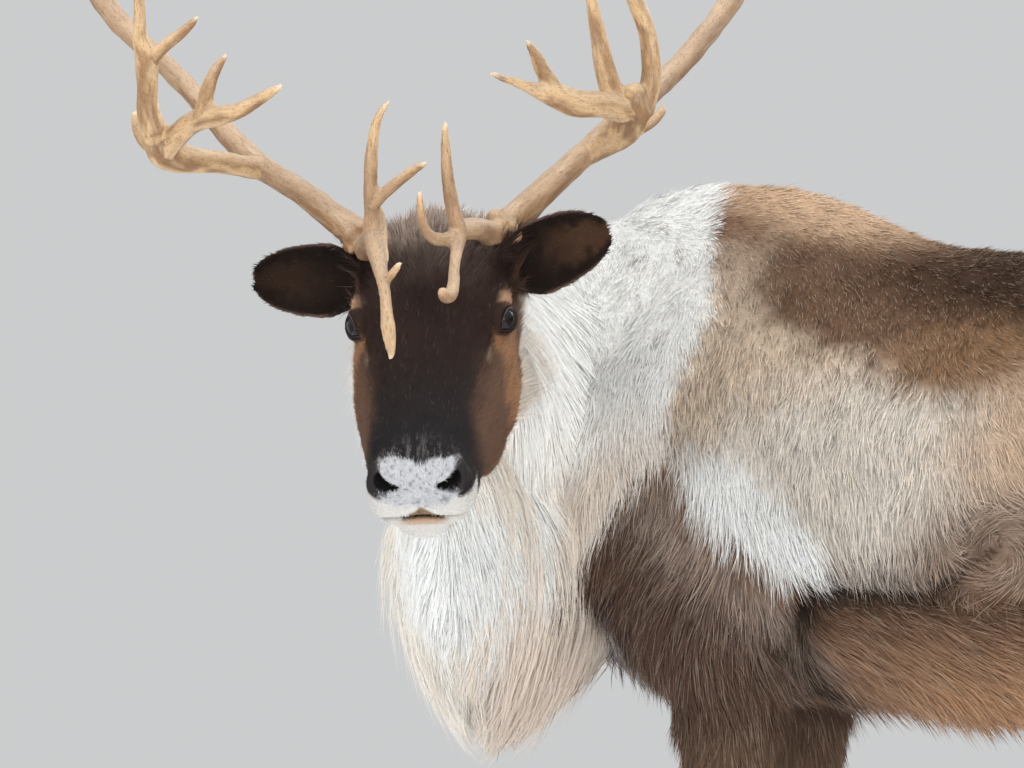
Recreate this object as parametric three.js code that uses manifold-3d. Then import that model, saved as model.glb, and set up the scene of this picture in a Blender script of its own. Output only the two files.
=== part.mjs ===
// A bull reindeer standing still, life size. Millimetres, +Z up. It heads along -X and has turned its head
// to its left, which is -Y. The origin is on the ground below the middle of its bounding box.
import * as THREE from "three";
import { mergeVertices } from "three/addons/utils/BufferGeometryUtils.js";
import Module from "manifold-3d";

const wasm = await Module();
wasm.setup();

// Driving dimensions
const withersHeight = 1200; // ground to the top of the shoulder hump, with the coat
const headLength = 400; // crown to lips
const antlerSize = 1; // share of the antlers' own size
const gap = 0.3; // clearance between touching parts
const hoofHeight = 62; // ground to the hair line above the claws
const headTurn = 106; // degrees that the head is turned to the left
const headPitch = 36; // degrees that the face slopes down
const headRoll = 3; // degrees that the head leans to its right
const originX = 139; // the withers' place from the middle of the bounding box
const originY = 195;

// The tables below give the sizes of an animal 1200 at the withers with a head 400 long.
const bodyScale = withersHeight / 1200;
const headScale = headLength / 400;

const X = new THREE.Vector3(1, 0, 0);
const Z = new THREE.Vector3(0, 0, 1);
const forward = new THREE.Vector3(-1, 0, 0);
const hide = { coat: 0x8a6a4c, face: 0x3b2a22, antler: 0xb08a5a, hoof: 0x2b2623, eye: 0x14161c, mane: 0xe6dccb };

// Solids and cuts

function solid(geometry) {
  const bare = new THREE.BufferGeometry();
  bare.setAttribute("position", geometry.getAttribute("position"));
  bare.setIndex(geometry.index);
  const merged = mergeVertices(bare, 1e-3);
  const vertProperties = new Float32Array(merged.attributes.position.array);
  const triVerts = new Uint32Array(merged.index.array);
  const made = new wasm.Manifold(new wasm.Mesh({ numProp: 3, vertProperties, triVerts }));
  if (made.volume() > 0) return made;
  return new wasm.Manifold(new wasm.Mesh({ numProp: 3, vertProperties, triVerts: triVerts.reverse() }));
}

function moved(shape, matrix) {
  return shape.transform(matrix.elements);
}

const join = (shapes) => shapes.reduce((all, next) => all.add(next));

// The largest closed piece, so that a loose scrap left by a cut is dropped.
function largest(shape) {
  const pieces = shape.decompose();
  return pieces.reduce((best, next) => (next.volume() > best.volume() ? next : best));
}

function geometryOf(shape) {
  const mesh = shape.getMesh();
  const geometry = new THREE.BufferGeometry();
  geometry.setAttribute("position", new THREE.BufferAttribute(new Float32Array(mesh.vertProperties), 3));
  geometry.setIndex(new THREE.BufferAttribute(new Uint32Array(mesh.triVerts), 1));
  const faceted = geometry.toNonIndexed();
  faceted.computeVertexNormals();
  return faceted;
}

function box(low, high) {
  const size = high.map((value, i) => value - low[i]);
  const middle = high.map((value, i) => (value + low[i]) / 2);
  return solid(new THREE.BoxGeometry(...size).translate(...middle));
}

function ellipsoid(centre, radii, across = 10, down = 6) {
  const ball = new THREE.SphereGeometry(1, across, down);
  return solid(ball.scale(...radii).translate(...centre));
}

// Lofts

const blend = (a, b, c, d, t) =>
  0.5 * (2 * b + (c - a) * t + (2 * a - 5 * b + 4 * c - d) * t ** 2 + (3 * b - a - 3 * c + d) * t ** 3);

// The station at u, from 0 at the first to 1 at the last, on a smooth curve through them all.
function stationAt(stations, u) {
  const last = stations.length - 1;
  const place = Math.min(u * last, last - 1e-9);
  const i = Math.floor(place);
  const four = [i - 1, i, i + 1, i + 2].map((n) => stations[Math.min(Math.max(n, 0), last)]);
  const made = {};
  for (const key of Object.keys(stations[0])) {
    made[key] = blend(...four.map((station) => station[key]), place - i);
  }
  return made;
}

// A closed tube through stations with a centre (x, y, z), a half width (side) and the reach on both sides of
// the centre line (up and down). over is the way that up points. Rings stand square to the centre line, or to
// along where that is given. pinch narrows the upper half, keel the lower, and square above 2 fills the corners.
// carry turns each ring only as far as the line bends, for lines that climb as well as run.
function loft(stations, { sides, rings, over = Z, along, carry, pinch = 0, keel = 0, square = 2, grow = 0 }) {
  const spots = [];
  const line = Array.from({ length: rings + 1 }, (_, i) => stationAt(stations, i / rings));
  const centres = line.map((at) => new THREE.Vector3(at.x, at.y, at.z));
  let above = over;
  line.forEach((at, i) => {
    const ahead = centres[Math.min(i + 1, rings)];
    const tangent = along ? along.clone() : ahead.clone().sub(centres[Math.max(i - 1, 0)]).normalize();
    const side = new THREE.Vector3().crossVectors(above, tangent).normalize();
    const up = new THREE.Vector3().crossVectors(tangent, side);
    if (carry) above = up;
    if (i === 0) at.end = tangent.clone().multiplyScalar(-grow);
    if (i === rings) at.end = tangent.clone().multiplyScalar(grow);
    const centre = centres[i].clone().add(at.end ?? new THREE.Vector3());
    const narrow = at.pinch ?? pinch;
    const least = 0.5;
    for (let j = 0; j < sides; j++) {
      const angle = (2 * Math.PI * j) / sides;
      const c = Math.cos(angle);
      const s = Math.sin(angle);
      const wide = Math.sign(c) * Math.abs(c) ** (2 / square);
      const high = Math.sign(s) * Math.abs(s) ** (2 / square);
      const half = Math.max(at.side + grow, least) * (1 - (s > 0 ? narrow : keel) * s * s);
      const reach = Math.max((s > 0 ? at.up : at.down) + grow, least);
      spots.push(centre.clone().addScaledVector(side, wide * half).addScaledVector(up, high * reach));
    }
  });
  const first = spots.push(centres[0].clone().add(line[0].end)) - 1;
  const end = spots.push(centres[rings].clone().add(line[rings].end)) - 1;
  const faces = [];
  for (let j = 0; j < sides; j++) {
    const next = (j + 1) % sides;
    faces.push(first, next, j, end, rings * sides + j, rings * sides + next);
    for (let i = 0; i < rings; i++) {
      const a = i * sides + j;
      const b = i * sides + next;
      faces.push(a, b, b + sides, a, b + sides, a + sides);
    }
  }
  const geometry = new THREE.BufferGeometry().setFromPoints(spots);
  geometry.setIndex(faces);
  return geometry;
}

const scaled = (stations, scale) =>
  stations.map((station) => {
    const made = {};
    for (const [key, value] of Object.entries(station)) made[key] = key === "pinch" ? value : value * scale;
    return made;
  });

// Trunk: each ring by its place along the back, its top and bottom, and the level and half width where widest.
function trunkSolid(grow) {
  const rings = [
    { x: -272, top: 900, bottom: 810, wide: 850, side: 40, pinch: 0 },
    { x: -256, top: 990, bottom: 745, wide: 860, side: 88, pinch: 0.1 },
    { x: -222, top: 1085, bottom: 705, wide: 865, side: 126, pinch: 0.3 },
    { x: -168, top: 1155, bottom: 682, wide: 870, side: 152, pinch: 0.4 },
    { x: -95, top: 1192, bottom: 658, wide: 875, side: 176, pinch: 0.46 },
    { x: 0, top: 1200, bottom: 648, wide: 875, side: 198, pinch: 0.48 },
    { x: 90, top: 1181, bottom: 641, wide: 872, side: 218, pinch: 0.42 },
    { x: 195, top: 1136, bottom: 629, wide: 868, side: 243, pinch: 0.3 },
    { x: 300, top: 1124, bottom: 616, wide: 865, side: 258, pinch: 0.22 },
    { x: 420, top: 1120, bottom: 607, wide: 862, side: 265, pinch: 0.2 },
    { x: 540, top: 1124, bottom: 611, wide: 865, side: 260, pinch: 0.2 },
    { x: 660, top: 1132, bottom: 637, wide: 876, side: 240, pinch: 0.2 },
    { x: 765, top: 1130, bottom: 678, wide: 890, side: 212, pinch: 0.2 },
    { x: 850, top: 1108, bottom: 730, wide: 905, side: 178, pinch: 0.15 },
    { x: 920, top: 1064, bottom: 792, wide: 918, side: 134, pinch: 0.1 },
    { x: 965, top: 1010, bottom: 852, wide: 928, side: 86, pinch: 0.1 },
    { x: 984, top: 965, bottom: 900, wide: 934, side: 36, pinch: 0 },
  ];
  const stations = rings.map(({ x, top, bottom, wide, side, pinch }) => {
    return { x, y: 0, z: wide, up: top - wide, down: wide - bottom, side, pinch };
  });
  return solid(loft(scaled(stations, bodyScale), { sides: 20, rings: 22, along: X, keel: 0.12, grow }));
}

// Legs: each ring's centre, its reach to the front (up) and the back (down), and its half thickness (side).
const foreleg = [
  { x: 25, y: 60, z: 1130, up: 38, down: 48, side: 24 },
  { x: -15, y: 92, z: 1050, up: 70, down: 75, side: 50 },
  { x: -70, y: 118, z: 950, up: 90, down: 94, side: 64 },
  { x: -100, y: 130, z: 850, up: 98, down: 120, side: 68 },
  { x: -52, y: 136, z: 760, up: 84, down: 118, side: 66 },
  { x: -6, y: 134, z: 692, up: 66, down: 72, side: 58 },
  { x: 5, y: 130, z: 640, up: 60, down: 62, side: 50 },
  { x: 4, y: 127, z: 560, up: 48, down: 50, side: 42 },
  { x: 0, y: 124, z: 460, up: 35, down: 38, side: 34 },
  { x: -4, y: 122, z: 388, up: 34, down: 33, side: 33 },
  { x: -4, y: 122, z: 348, up: 36, down: 31, side: 35 },
  { x: 2, y: 122, z: 296, up: 27, down: 26, side: 27 },
  { x: 4, y: 122, z: 220, up: 22, down: 24, side: 23 },
  { x: 4, y: 123, z: 152, up: 23, down: 29, side: 25 },
  { x: 0, y: 124, z: 118, up: 28, down: 33, side: 31 },
  { x: -10, y: 125, z: 90, up: 29, down: 29, side: 31 },
  { x: -22, y: 126, z: 62, up: 38, down: 36, side: 38 },
];
const hindleg = [
  { x: 800, y: 66, z: 1064, up: 100, down: 80, side: 44 },
  { x: 795, y: 98, z: 980, up: 150, down: 128, side: 78 },
  { x: 780, y: 120, z: 890, up: 168, down: 144, side: 88 },
  { x: 754, y: 132, z: 800, up: 152, down: 132, side: 82 },
  { x: 748, y: 136, z: 722, up: 118, down: 108, side: 68 },
  { x: 772, y: 133, z: 640, up: 80, down: 80, side: 53 },
  { x: 810, y: 128, z: 560, up: 52, down: 56, side: 41 },
  { x: 840, y: 125, z: 500, up: 40, down: 48, side: 35 },
  { x: 853, y: 124, z: 458, up: 42, down: 42, side: 35 },
  { x: 852, y: 124, z: 412, up: 37, down: 33, side: 32 },
  { x: 846, y: 124, z: 330, up: 27, down: 26, side: 26 },
  { x: 842, y: 125, z: 232, up: 24, down: 25, side: 24 },
  { x: 838, y: 126, z: 160, up: 25, down: 30, side: 27 },
  { x: 832, y: 126, z: 124, up: 29, down: 33, side: 31 },
  { x: 822, y: 127, z: 92, up: 29, down: 29, side: 31 },
  { x: 812, y: 128, z: 62, up: 38, down: 36, side: 38 },
];
const hipLevel = 850; // a step moves the leg by more and more below this level

function leg(stations, side, step) {
  return stations.map((station) => ({
    ...station,
    x: station.x - step * Math.max(0, 1 - station.z / hipLevel),
    y: station.y * side,
  }));
}

function legSolid(stations) {
  const whole = solid(loft(scaled(stations, bodyScale), { sides: 10, rings: 20, over: forward, square: 2.1 }));
  return whole.trimByPlane([0, 0, 1], hoofHeight * bodyScale);
}

// Each leg: its name, its stations, its side (-1 is the left), the step forward, and where it is parted.
const legs = [
  { name: "foreleg_left", shape: foreleg, side: -1, step: 0, elbow: 648, wrist: 340 },
  { name: "foreleg_right", shape: foreleg, side: 1, step: 0, elbow: 648, wrist: 340 },
  { name: "hindleg_left", shape: hindleg, side: -1, step: -25, elbow: 640, wrist: 440 },
  { name: "hindleg_right", shape: hindleg, side: 1, step: 85, elbow: 640, wrist: 440 },
];

// Neck: it leaves the chest straight ahead and bends round to the left, up to the back of the head.
const neck = [
  { x: -60, y: 0, z: 925, up: 215, down: 225, side: 125, pinch: 0.45 },
  { x: -165, y: -12, z: 925, up: 238, down: 222, side: 128, pinch: 0.45 },
  { x: -236, y: -84, z: 940, up: 222, down: 205, side: 122, pinch: 0.42 },
  { x: -254, y: -185, z: 960, up: 188, down: 185, side: 112, pinch: 0.36 },
  { x: -246, y: -288, z: 988, up: 145, down: 150, side: 98, pinch: 0.3 },
  { x: -232, y: -368, z: 1010, up: 104, down: 118, side: 84, pinch: 0.25 },
  { x: -218, y: -412, z: 1018, up: 70, down: 90, side: 66, pinch: 0.2 },
];

// Mane: the long white hair under the neck, from the throat to the brisket.
const mane = [
  { x: -150, y: 14, z: 800, up: 120, down: 90, side: 76 },
  { x: -196, y: -48, z: 805, up: 150, down: 150, side: 108 },
  { x: -228, y: -120, z: 810, up: 160, down: 198, side: 130 },
  { x: -240, y: -200, z: 820, up: 160, down: 216, side: 122 },
  { x: -230, y: -285, z: 846, up: 150, down: 206, side: 84 },
  { x: -220, y: -352, z: 884, up: 130, down: 162, side: 64 },
  { x: -212, y: -402, z: 924, up: 80, down: 96, side: 44 },
];

// Under the long hair a core of flesh and underfur reaches this share of the way to the tips.
const maneCore = 0.5;
// Each row of locks by the angles of its roots and its tips round the mane, 0 at the side and -90 below.
const maneRows = [
  { root: 30, tip: -20, wide: 33 },
  { root: -4, tip: -52, wide: 34 },
  { root: -44, tip: -78, wide: 34 },
  { root: -90, tip: -90, wide: 36 },
];
const maneColumns = 8;

// A point of the mane: u runs from the chest to the throat, and share from its centre line to the tips.
function manePoint(u, degrees, share) {
  const at = stationAt(mane, Math.min(Math.max(u, 0), 1));
  const ahead = stationAt(mane, Math.min(u + 0.02, 1));
  const behind = stationAt(mane, Math.max(u - 0.02, 0));
  const run = new THREE.Vector3(ahead.x - behind.x, ahead.y - behind.y, 0).normalize();
  const side = new THREE.Vector3().crossVectors(Z, run);
  const angle = THREE.MathUtils.degToRad(degrees);
  const [c, s] = [Math.cos(angle), Math.sin(angle)];
  const out = side.multiplyScalar(at.side * c * (1 - (s > 0 ? 0.3 : 0.35) * s * s));
  const height = at.z + (s > 0 ? at.up : at.down) * s * share;
  return new THREE.Vector3(at.x, at.y, height).addScaledVector(out, share);
}

// A flat lock of hair: it leaves the core, bends down with the lie of the coat, and tapers to its tip.
function lock(root, bend, tip, outward, wide, thick) {
  const curve = new THREE.QuadraticBezierCurve3(root, bend, tip);
  const shares = [0.8, 1, 0.86, 0.5, 0.06];
  const stations = shares.map((share, i) => {
    const { x, y, z } = curve.getPoint(i / (shares.length - 1));
    return { x, y, z, up: thick * share, down: thick * share, side: wide * share };
  });
  return solid(loft(stations, { sides: 4, rings: 4, over: outward, carry: true }));
}

function maneLocks() {
  const made = [];
  maneRows.forEach(({ root, tip, wide }, row) => {
    for (let column = 0; column < maneColumns; column++) {
      for (const mirror of root > -90 ? [0, 1] : [0]) {
        const turn = (degrees) => (mirror ? 180 - degrees : degrees);
        const shift = (row % 2 ? 0.5 : 0) + (mirror ? 0.25 : 0);
        const u = (column + 0.3 + shift * 0.8) / maneColumns;
        const wave = Math.sin(column * 2.4 + row * 1.7 + mirror * 0.9);
        const drift = 0.02 * wave - 0.03;
        const start = manePoint(u, turn(root), maneCore - 0.1);
        const middle = manePoint(u + drift * 0.5, turn((root + tip) / 2 + 12), 1.04 + 0.03 * wave);
        const end = manePoint(u + drift, turn(tip + 5 * wave), 1);
        const outward = middle.clone().sub(start).normalize();
        made.push(lock(start, middle, end, outward, wide * (1 + 0.12 * wave), 9));
      }
    }
  });
  return made;
}

// Head, in its own frame: x to the nose, y to its left, z up from the face, from between the eyes.
const eyePlace = { x: 3, y: 64, z: 2, radius: 18 };
const headMatrix = new THREE.Matrix4().compose(
  new THREE.Vector3(-198, -466, 1041).multiplyScalar(bodyScale),
  new THREE.Quaternion().setFromEuler(
    new THREE.Euler(
      THREE.MathUtils.degToRad(headRoll),
      THREE.MathUtils.degToRad(headPitch),
      THREE.MathUtils.degToRad(headTurn - 180),
      "ZYX",
    ),
  ),
  new THREE.Vector3(headScale, headScale, headScale),
);

function skullSolid(grow) {
  const rings = [
    { x: -150, top: 8, bottom: -62, wide: -30, side: 46 },
    { x: -132, top: 38, bottom: -92, wide: -30, side: 70 },
    { x: -100, top: 58, bottom: -116, wide: -30, side: 80 },
    { x: -60, top: 56, bottom: -134, wide: -34, side: 83 },
    { x: -20, top: 45, bottom: -140, wide: -38, side: 82 },
    { x: 20, top: 33, bottom: -138, wide: -46, side: 82 },
    { x: 60, top: 24, bottom: -129, wide: -54, side: 79 },
    { x: 100, top: 16, bottom: -116, wide: -54, side: 73 },
    { x: 140, top: 9, bottom: -106, wide: -52, side: 65 },
    { x: 180, top: 4, bottom: -100, wide: -48, side: 58 },
    { x: 210, top: 0, bottom: -96, wide: -45, side: 56 },
    { x: 232, top: -7, bottom: -88, wide: -44, side: 52 },
    { x: 246, top: -19, bottom: -72, wide: -44, side: 42 },
    { x: 252, top: -32, bottom: -56, wide: -44, side: 22 },
  ];
  const stations = rings.map(({ x, top, bottom, wide, side }) => {
    return { x, y: 0, z: wide, up: top - wide, down: wide - bottom, side };
  });
  return solid(loft(stations, { sides: 20, rings: 16, along: X, pinch: 0.06, keel: 0.28, square: 2.35, grow }));
}

function headSolid(grow = 0) {
  const forms = [skullSolid(grow), ellipsoid([220, 0, -78], [23 + grow, 32 + grow, 24 + grow])]; // with the chin
  for (const side of [-1, 1]) {
    forms.push(ellipsoid([-16, side * 58, 10], [32 + grow, 24 + grow, 20 + grow])); // brow over the eye
    forms.push(ellipsoid([-12, side * 56, -78], [62 + grow, 28 + grow, 50 + grow])); // cheek
    forms.push(ellipsoid([-90, side * 58, 26], [28 + grow, 24 + grow, 26 + grow])); // pedicle
    forms.push(ellipsoid([226, side * 31, -31], [24 + grow, 24 + grow, 25 + grow])); // side of the nose
  }
  return join(forms);
}

// A ball stretched along three axes: the first two are given, and the third stands square to both.
function lens(centre, first, second, radii, across, down) {
  const t = new THREE.Vector3(...first).normalize();
  const u = new THREE.Vector3(...second).addScaledVector(t, -t.dot(new THREE.Vector3(...second))).normalize();
  const basis = new THREE.Matrix4().makeBasis(t, u, new THREE.Vector3().crossVectors(t, u));
  const ball = new THREE.SphereGeometry(1, across, down).scale(...radii).applyMatrix4(basis);
  return solid(ball.translate(...centre));
}

// The head with its eye openings between the lids, its nostrils and the line of its mouth.
function carvedHead() {
  let shape = headSolid();
  for (const side of [-1, 1]) {
    const { x, y, z, radius } = eyePlace;
    const lids = ellipsoid([x, side * y, z], [radius + 4, radius + 4, radius + 4], 12, 8);
    const socket = ellipsoid([x, side * y, z], [radius + gap, radius + gap, radius + gap], 12, 8);
    const slit = [0.8, side * -0.5, -0.34];
    const look = [0.5, side * 0.82, 0.28];
    const middle = [x + look[0] * 19, side * y + look[1] * 19, z + look[2] * 19];
    const opening = lens(middle, slit, look, [16, 15, 11], 10, 6);
    shape = shape.add(lids).subtract(socket).subtract(opening);
    shape = shape.subtract(lens([244, side * 33, -27], [-0.2, side * 0.82, 0.45], [1, 0, 0], [11, 14, 5.5], 8, 5));
  }
  const mouth = solid(new THREE.BoxGeometry(96, 140, 2.4).rotateY(-0.2).translate(212, 0, -63));
  const groove = box([246, -1.2, -52], [258, 1.2, -38]); // the cleft of the upper lip
  return shape.subtract(mouth).subtract(groove);
}

// Ears: a cup, rolled at its base and open towards the face, that spreads to a leaf and ends in a point.
const ears = [
  { side: 1, root: [-78, 70, 14], axis: [-0.36, 0.9, 0.15], open: [0.8, 0.16, 0.55] },
  { side: -1, root: [-76, -72, 16], axis: [-0.1, -0.98, 0.02], open: [0.78, -0.16, 0.6] },
];

function earSolid({ root, axis, open }) {
  const long = 118;
  const thick = 6;
  const steps = 7;
  const across = 8;
  const width = (u) => 20 + 19 * Math.sin((Math.PI / 2) * Math.min(1, u * 2.6));
  const taper = (u) => Math.sqrt(Math.max(0, 1 - Math.max(0, (u - 0.42) / 0.6) ** 2.2));
  const wrap = (u) => THREE.MathUtils.degToRad(135 - 87 * Math.min(1, u * 1.7));
  const along = new THREE.Vector3(...axis).normalize();
  const back = new THREE.Vector3(...open).negate();
  back.addScaledVector(along, -back.dot(along)).normalize();
  const wide = new THREE.Vector3().crossVectors(along, back);
  const spots = [];
  for (const inset of [0, thick]) {
    for (let i = 0; i <= steps; i++) {
      const u = i / steps;
      const half = width(u) * taper(u);
      const angle = wrap(u);
      const bend = half / Math.sin(Math.min(angle, Math.PI / 2));
      const middle = new THREE.Vector3(...root).addScaledVector(along, long * u - (u === 1 ? inset * 0.4 : 0));
      middle.addScaledVector(back, 7 * Math.sin(Math.PI * u) - bend * 0.4);
      for (let j = 0; j <= across; j++) {
        const share = (2 * j) / across - 1;
        const ring = Math.max(bend - inset * (1 - 0.4 * Math.abs(share)) * Math.max(0.4, taper(u)), bend * 0.3);
        const spot = middle.clone().addScaledVector(wide, ring * Math.sin(angle * share));
        spots.push(spot.addScaledVector(back, ring * Math.cos(angle * share)));
      }
    }
  }
  const row = across + 1;
  const inner = row * (steps + 1);
  const faces = [];
  const quad = (a, b, c, d) => faces.push(a, b, c, a, c, d);
  for (let i = 0; i < steps; i++) {
    for (let j = 0; j < across; j++) {
      const a = i * row + j;
      quad(a, a + row, a + row + 1, a + 1);
      quad(inner + a, inner + a + 1, inner + a + row + 1, inner + a + row);
    }
    const low = i * row;
    const high = low + across;
    quad(low, inner + low, inner + low + row, low + row);
    quad(high, high + row, inner + high + row, inner + high);
  }
  for (let j = 0; j < across; j++) {
    const tip = steps * row + j;
    quad(j, j + 1, inner + j + 1, inner + j);
    quad(tip, inner + tip, inner + tip + 1, tip + 1);
  }
  const geometry = new THREE.BufferGeometry().setFromPoints(spots);
  geometry.setIndex(faces);
  return solid(geometry);
}

// Antlers, in the head's frame. A branch runs through a few points; thick is its radius at the root, and it
// tapers to the tip.
const tipRadius = 2.2;
const upright = new THREE.Vector3(0.31, -0.2, 0.93).normalize();

function branch(points, thick, { flat = 1, sides = 5, rings = 5, tip = tipRadius, grow = 0, swell = 0 } = {}) {
  const stations = points.map(([x, y, z], i) => {
    const u = i / (points.length - 1);
    const radius = tip + (thick - tip) * (1 - u ** 1.6) + swell * Math.sin(Math.PI * u) ** 2;
    return { x, y, z, up: radius, down: radius, side: radius * flat };
  });
  return solid(loft(stations, { sides, rings, over: upright, carry: true, grow }));
}

const leftAntler = {
  side: 1,
  beam: [
    [-95, 64, 38],
    [-182, 126, 50],
    [-257, 180, 59],
    [-353, 236, 54],
    [-471, 295, 69],
    [-583, 341, 105],
    [-619, 365, 197],
    [-610, 360, 303],
    [-565, 339, 407],
  ],
  brow: {
    stem: [[-84, 60, 40], [-45, 46, 78], [-10, 36, 101]],
    tines: [
      [[-18, 37, 94], [-40, 31, 152], [-62, 29, 201]],
      [[-16, 36, 98], [4, 10, 113], [-8, 3, 157]],
      [[-20, 38, 98], [41, 39, 90], [80, 37, 93], [93, 29, 106]],
    ],
  },
  bez: {
    stem: [[-236, 166, 52], [-184, 193, 102], [-140, 206, 158]],
    tines: [
      [[-146, 202, 150], [-101, 156, 197], [-60, 82, 259]],
      [[-98, 146, 204], [-95, 125, 244], [-103, 116, 269]],
      [[-148, 200, 152], [-158, 186, 216], [-183, 178, 309]],
      [[-150, 206, 148], [-184, 236, 195], [-225, 219, 292]],
      [[-166, 200, 118], [-190, 230, 118], [-209, 236, 111]],
    ],
  },
  back: [[-490, 302, 78], [-569, 337, 82], [-609, 365, 80]],
  crown: [
    [[-598, 352, 150], [-672, 391, 194], [-716, 404, 266]],
    [[-616, 362, 212], [-672, 384, 281], [-698, 386, 372]],
    [[-609, 358, 289], [-638, 368, 375], [-643, 358, 469]],
  ],
};
const rightAntler = {
  side: -1,
  beam: [
    [-88, -68, 42],
    [-153, -134, 60],
    [-212, -195, 70],
    [-323, -273, 100],
    [-434, -355, 130],
    [-540, -414, 176],
    [-574, -427, 271],
    [-567, -401, 374],
    [-524, -353, 479],
  ],
  brow: {
    stem: [[-80, -68, 46], [-41, -60, 90], [-12, -49, 120]],
    tines: [
      [[-26, -53, 108], [-36, -49, 178], [-63, -24, 228]],
      [[-24, -50, 122], [-22, -17, 160], [-25, 10, 179]],
      [[-26, -53, 120], [30, -42, 104], [82, -32, 90], [139, -26, 61]],
      [[62, -37, 94], [64, -26, 108], [61, -16, 120]],
    ],
  },
  bez: {
    stem: [[-196, -180, 66], [-166, -224, 98], [-126, -265, 135], [-110, -277, 192]],
    tines: [
      [[-113, -276, 176], [-128, -279, 248], [-155, -278, 304], [-182, -269, 359]],
      [[-128, -262, 134], [-105, -224, 190], [-101, -186, 206], [-99, -136, 230]],
      [[-106, -222, 190], [-115, -213, 220], [-128, -191, 253]],
      [[-130, -279, 244], [-131, -248, 266], [-139, -218, 291]],
      [[-128, -268, 136], [-146, -292, 154], [-167, -303, 163]],
    ],
  },
  back: [[-452, -366, 142], [-525, -409, 150], [-556, -441, 153]],
  crown: [
    [[-553, -420, 219], [-619, -460, 270], [-658, -465, 344]],
    [[-572, -422, 286], [-620, -437, 358], [-644, -428, 444]],
    [[-566, -404, 363], [-597, -401, 447], [-606, -373, 541]],
  ],
};

function beamSolid({ beam }, grow) {
  const shaft = branch(beam, 19, { sides: 8, rings: 18, tip: 7, grow, swell: -3 });
  const burrPlace = beam[0].map((value, i) => value * 0.94 + beam[1][i] * 0.06);
  return shaft.add(ellipsoid(burrPlace, [24 + grow, 24 + grow, 14 + grow]));
}

function browSolid({ brow }, grow) {
  return join([branch(brow.stem, 14, { tip: 10, rings: 4, grow }), ...brow.tines.map((t) => branch(t, 9, { grow }))]);
}

function bezSolid({ bez }, grow) {
  return join([branch(bez.stem, 16, { tip: 12, rings: 5, grow }), ...bez.tines.map((t) => branch(t, 11, { grow }))]);
}

function antlerNodes(antler) {
  const { side, beam, back, crown } = antler;
  const label = side > 0 ? "left" : "right";
  const half = Math.ceil(beam.length / 2);
  const whole = beamSolid(antler, 0);
  const room = beamSolid(antler, gap);
  // The beam is parted above its middle, where it turns up into the crown.
  const turn = new THREE.Vector3(...beam[half + 1]).sub(new THREE.Vector3(...beam[half])).normalize();
  const place = new THREE.Vector3(...beam[half]).dot(turn);
  const below = (shape) => shape.trimByPlane(turn.clone().negate().toArray(), -place + gap / 2);
  const above = whole.trimByPlane(turn.toArray(), place + gap / 2);
  return {
    [`antler_${label}_beam`]: below(whole),
    [`antler_${label}_crown`]: join([above, ...crown.map((t) => branch(t, 10))]),
    [`antler_${label}_brow`]: browSolid(antler, 0).subtract(room),
    [`antler_${label}_bez`]: bezSolid(antler, 0).subtract(room),
    [`antler_${label}_back_tine`]: below(branch(back, 9).subtract(room)),
  };
}

// Hooves: two crescent claws and two dew claws on each foot. The soles are flat, on the ground.

function clawSolid(footX, footY, side) {
  const lean = side * 5;
  const stations = [
    { x: footX - 12, y: footY + side * 27, z: 0, up: 56, down: 44, side: 24 },
    { x: footX - 12, y: footY + side * 27, z: 10, up: 58, down: 45, side: 25.5 },
    { x: footX - 6, y: footY + side * 25 + lean * 0.2, z: 34, up: 46, down: 40, side: 23 },
    { x: footX, y: footY + side * 20, z: hoofHeight - gap, up: 30, down: 32, side: 18.5 },
  ];
  return solid(loft(stations, { sides: 10, rings: 3, over: forward, along: Z.clone().negate(), square: 2.2 }));
}

function dewClawSolid(footX, footY, side) {
  const stations = [
    { x: footX + 32, y: footY + side * 20, z: 94, up: 9, down: 9, side: 9 },
    { x: footX + 46, y: footY + side * 24, z: 72, up: 14, down: 12, side: 12 },
    { x: footX + 53, y: footY + side * 25, z: 46, up: 12, down: 8, side: 10 },
    { x: footX + 54, y: footY + side * 25, z: 30, up: 4, down: 3, side: 5 },
  ];
  return solid(loft(stations, { sides: 6, rings: 3, over: forward }));
}

// Tail: short and blunt, hanging against the rump.
const tail = [
  { x: 950, y: 0, z: 1045, up: 20, down: 20, side: 24 },
  { x: 985, y: 0, z: 1030, up: 24, down: 24, side: 32 },
  { x: 1010, y: 0, z: 985, up: 26, down: 24, side: 37 },
  { x: 1016, y: 0, z: 925, up: 22, down: 20, side: 32 },
  { x: 1010, y: 0, z: 885, up: 7, down: 7, side: 10 },
];

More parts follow.
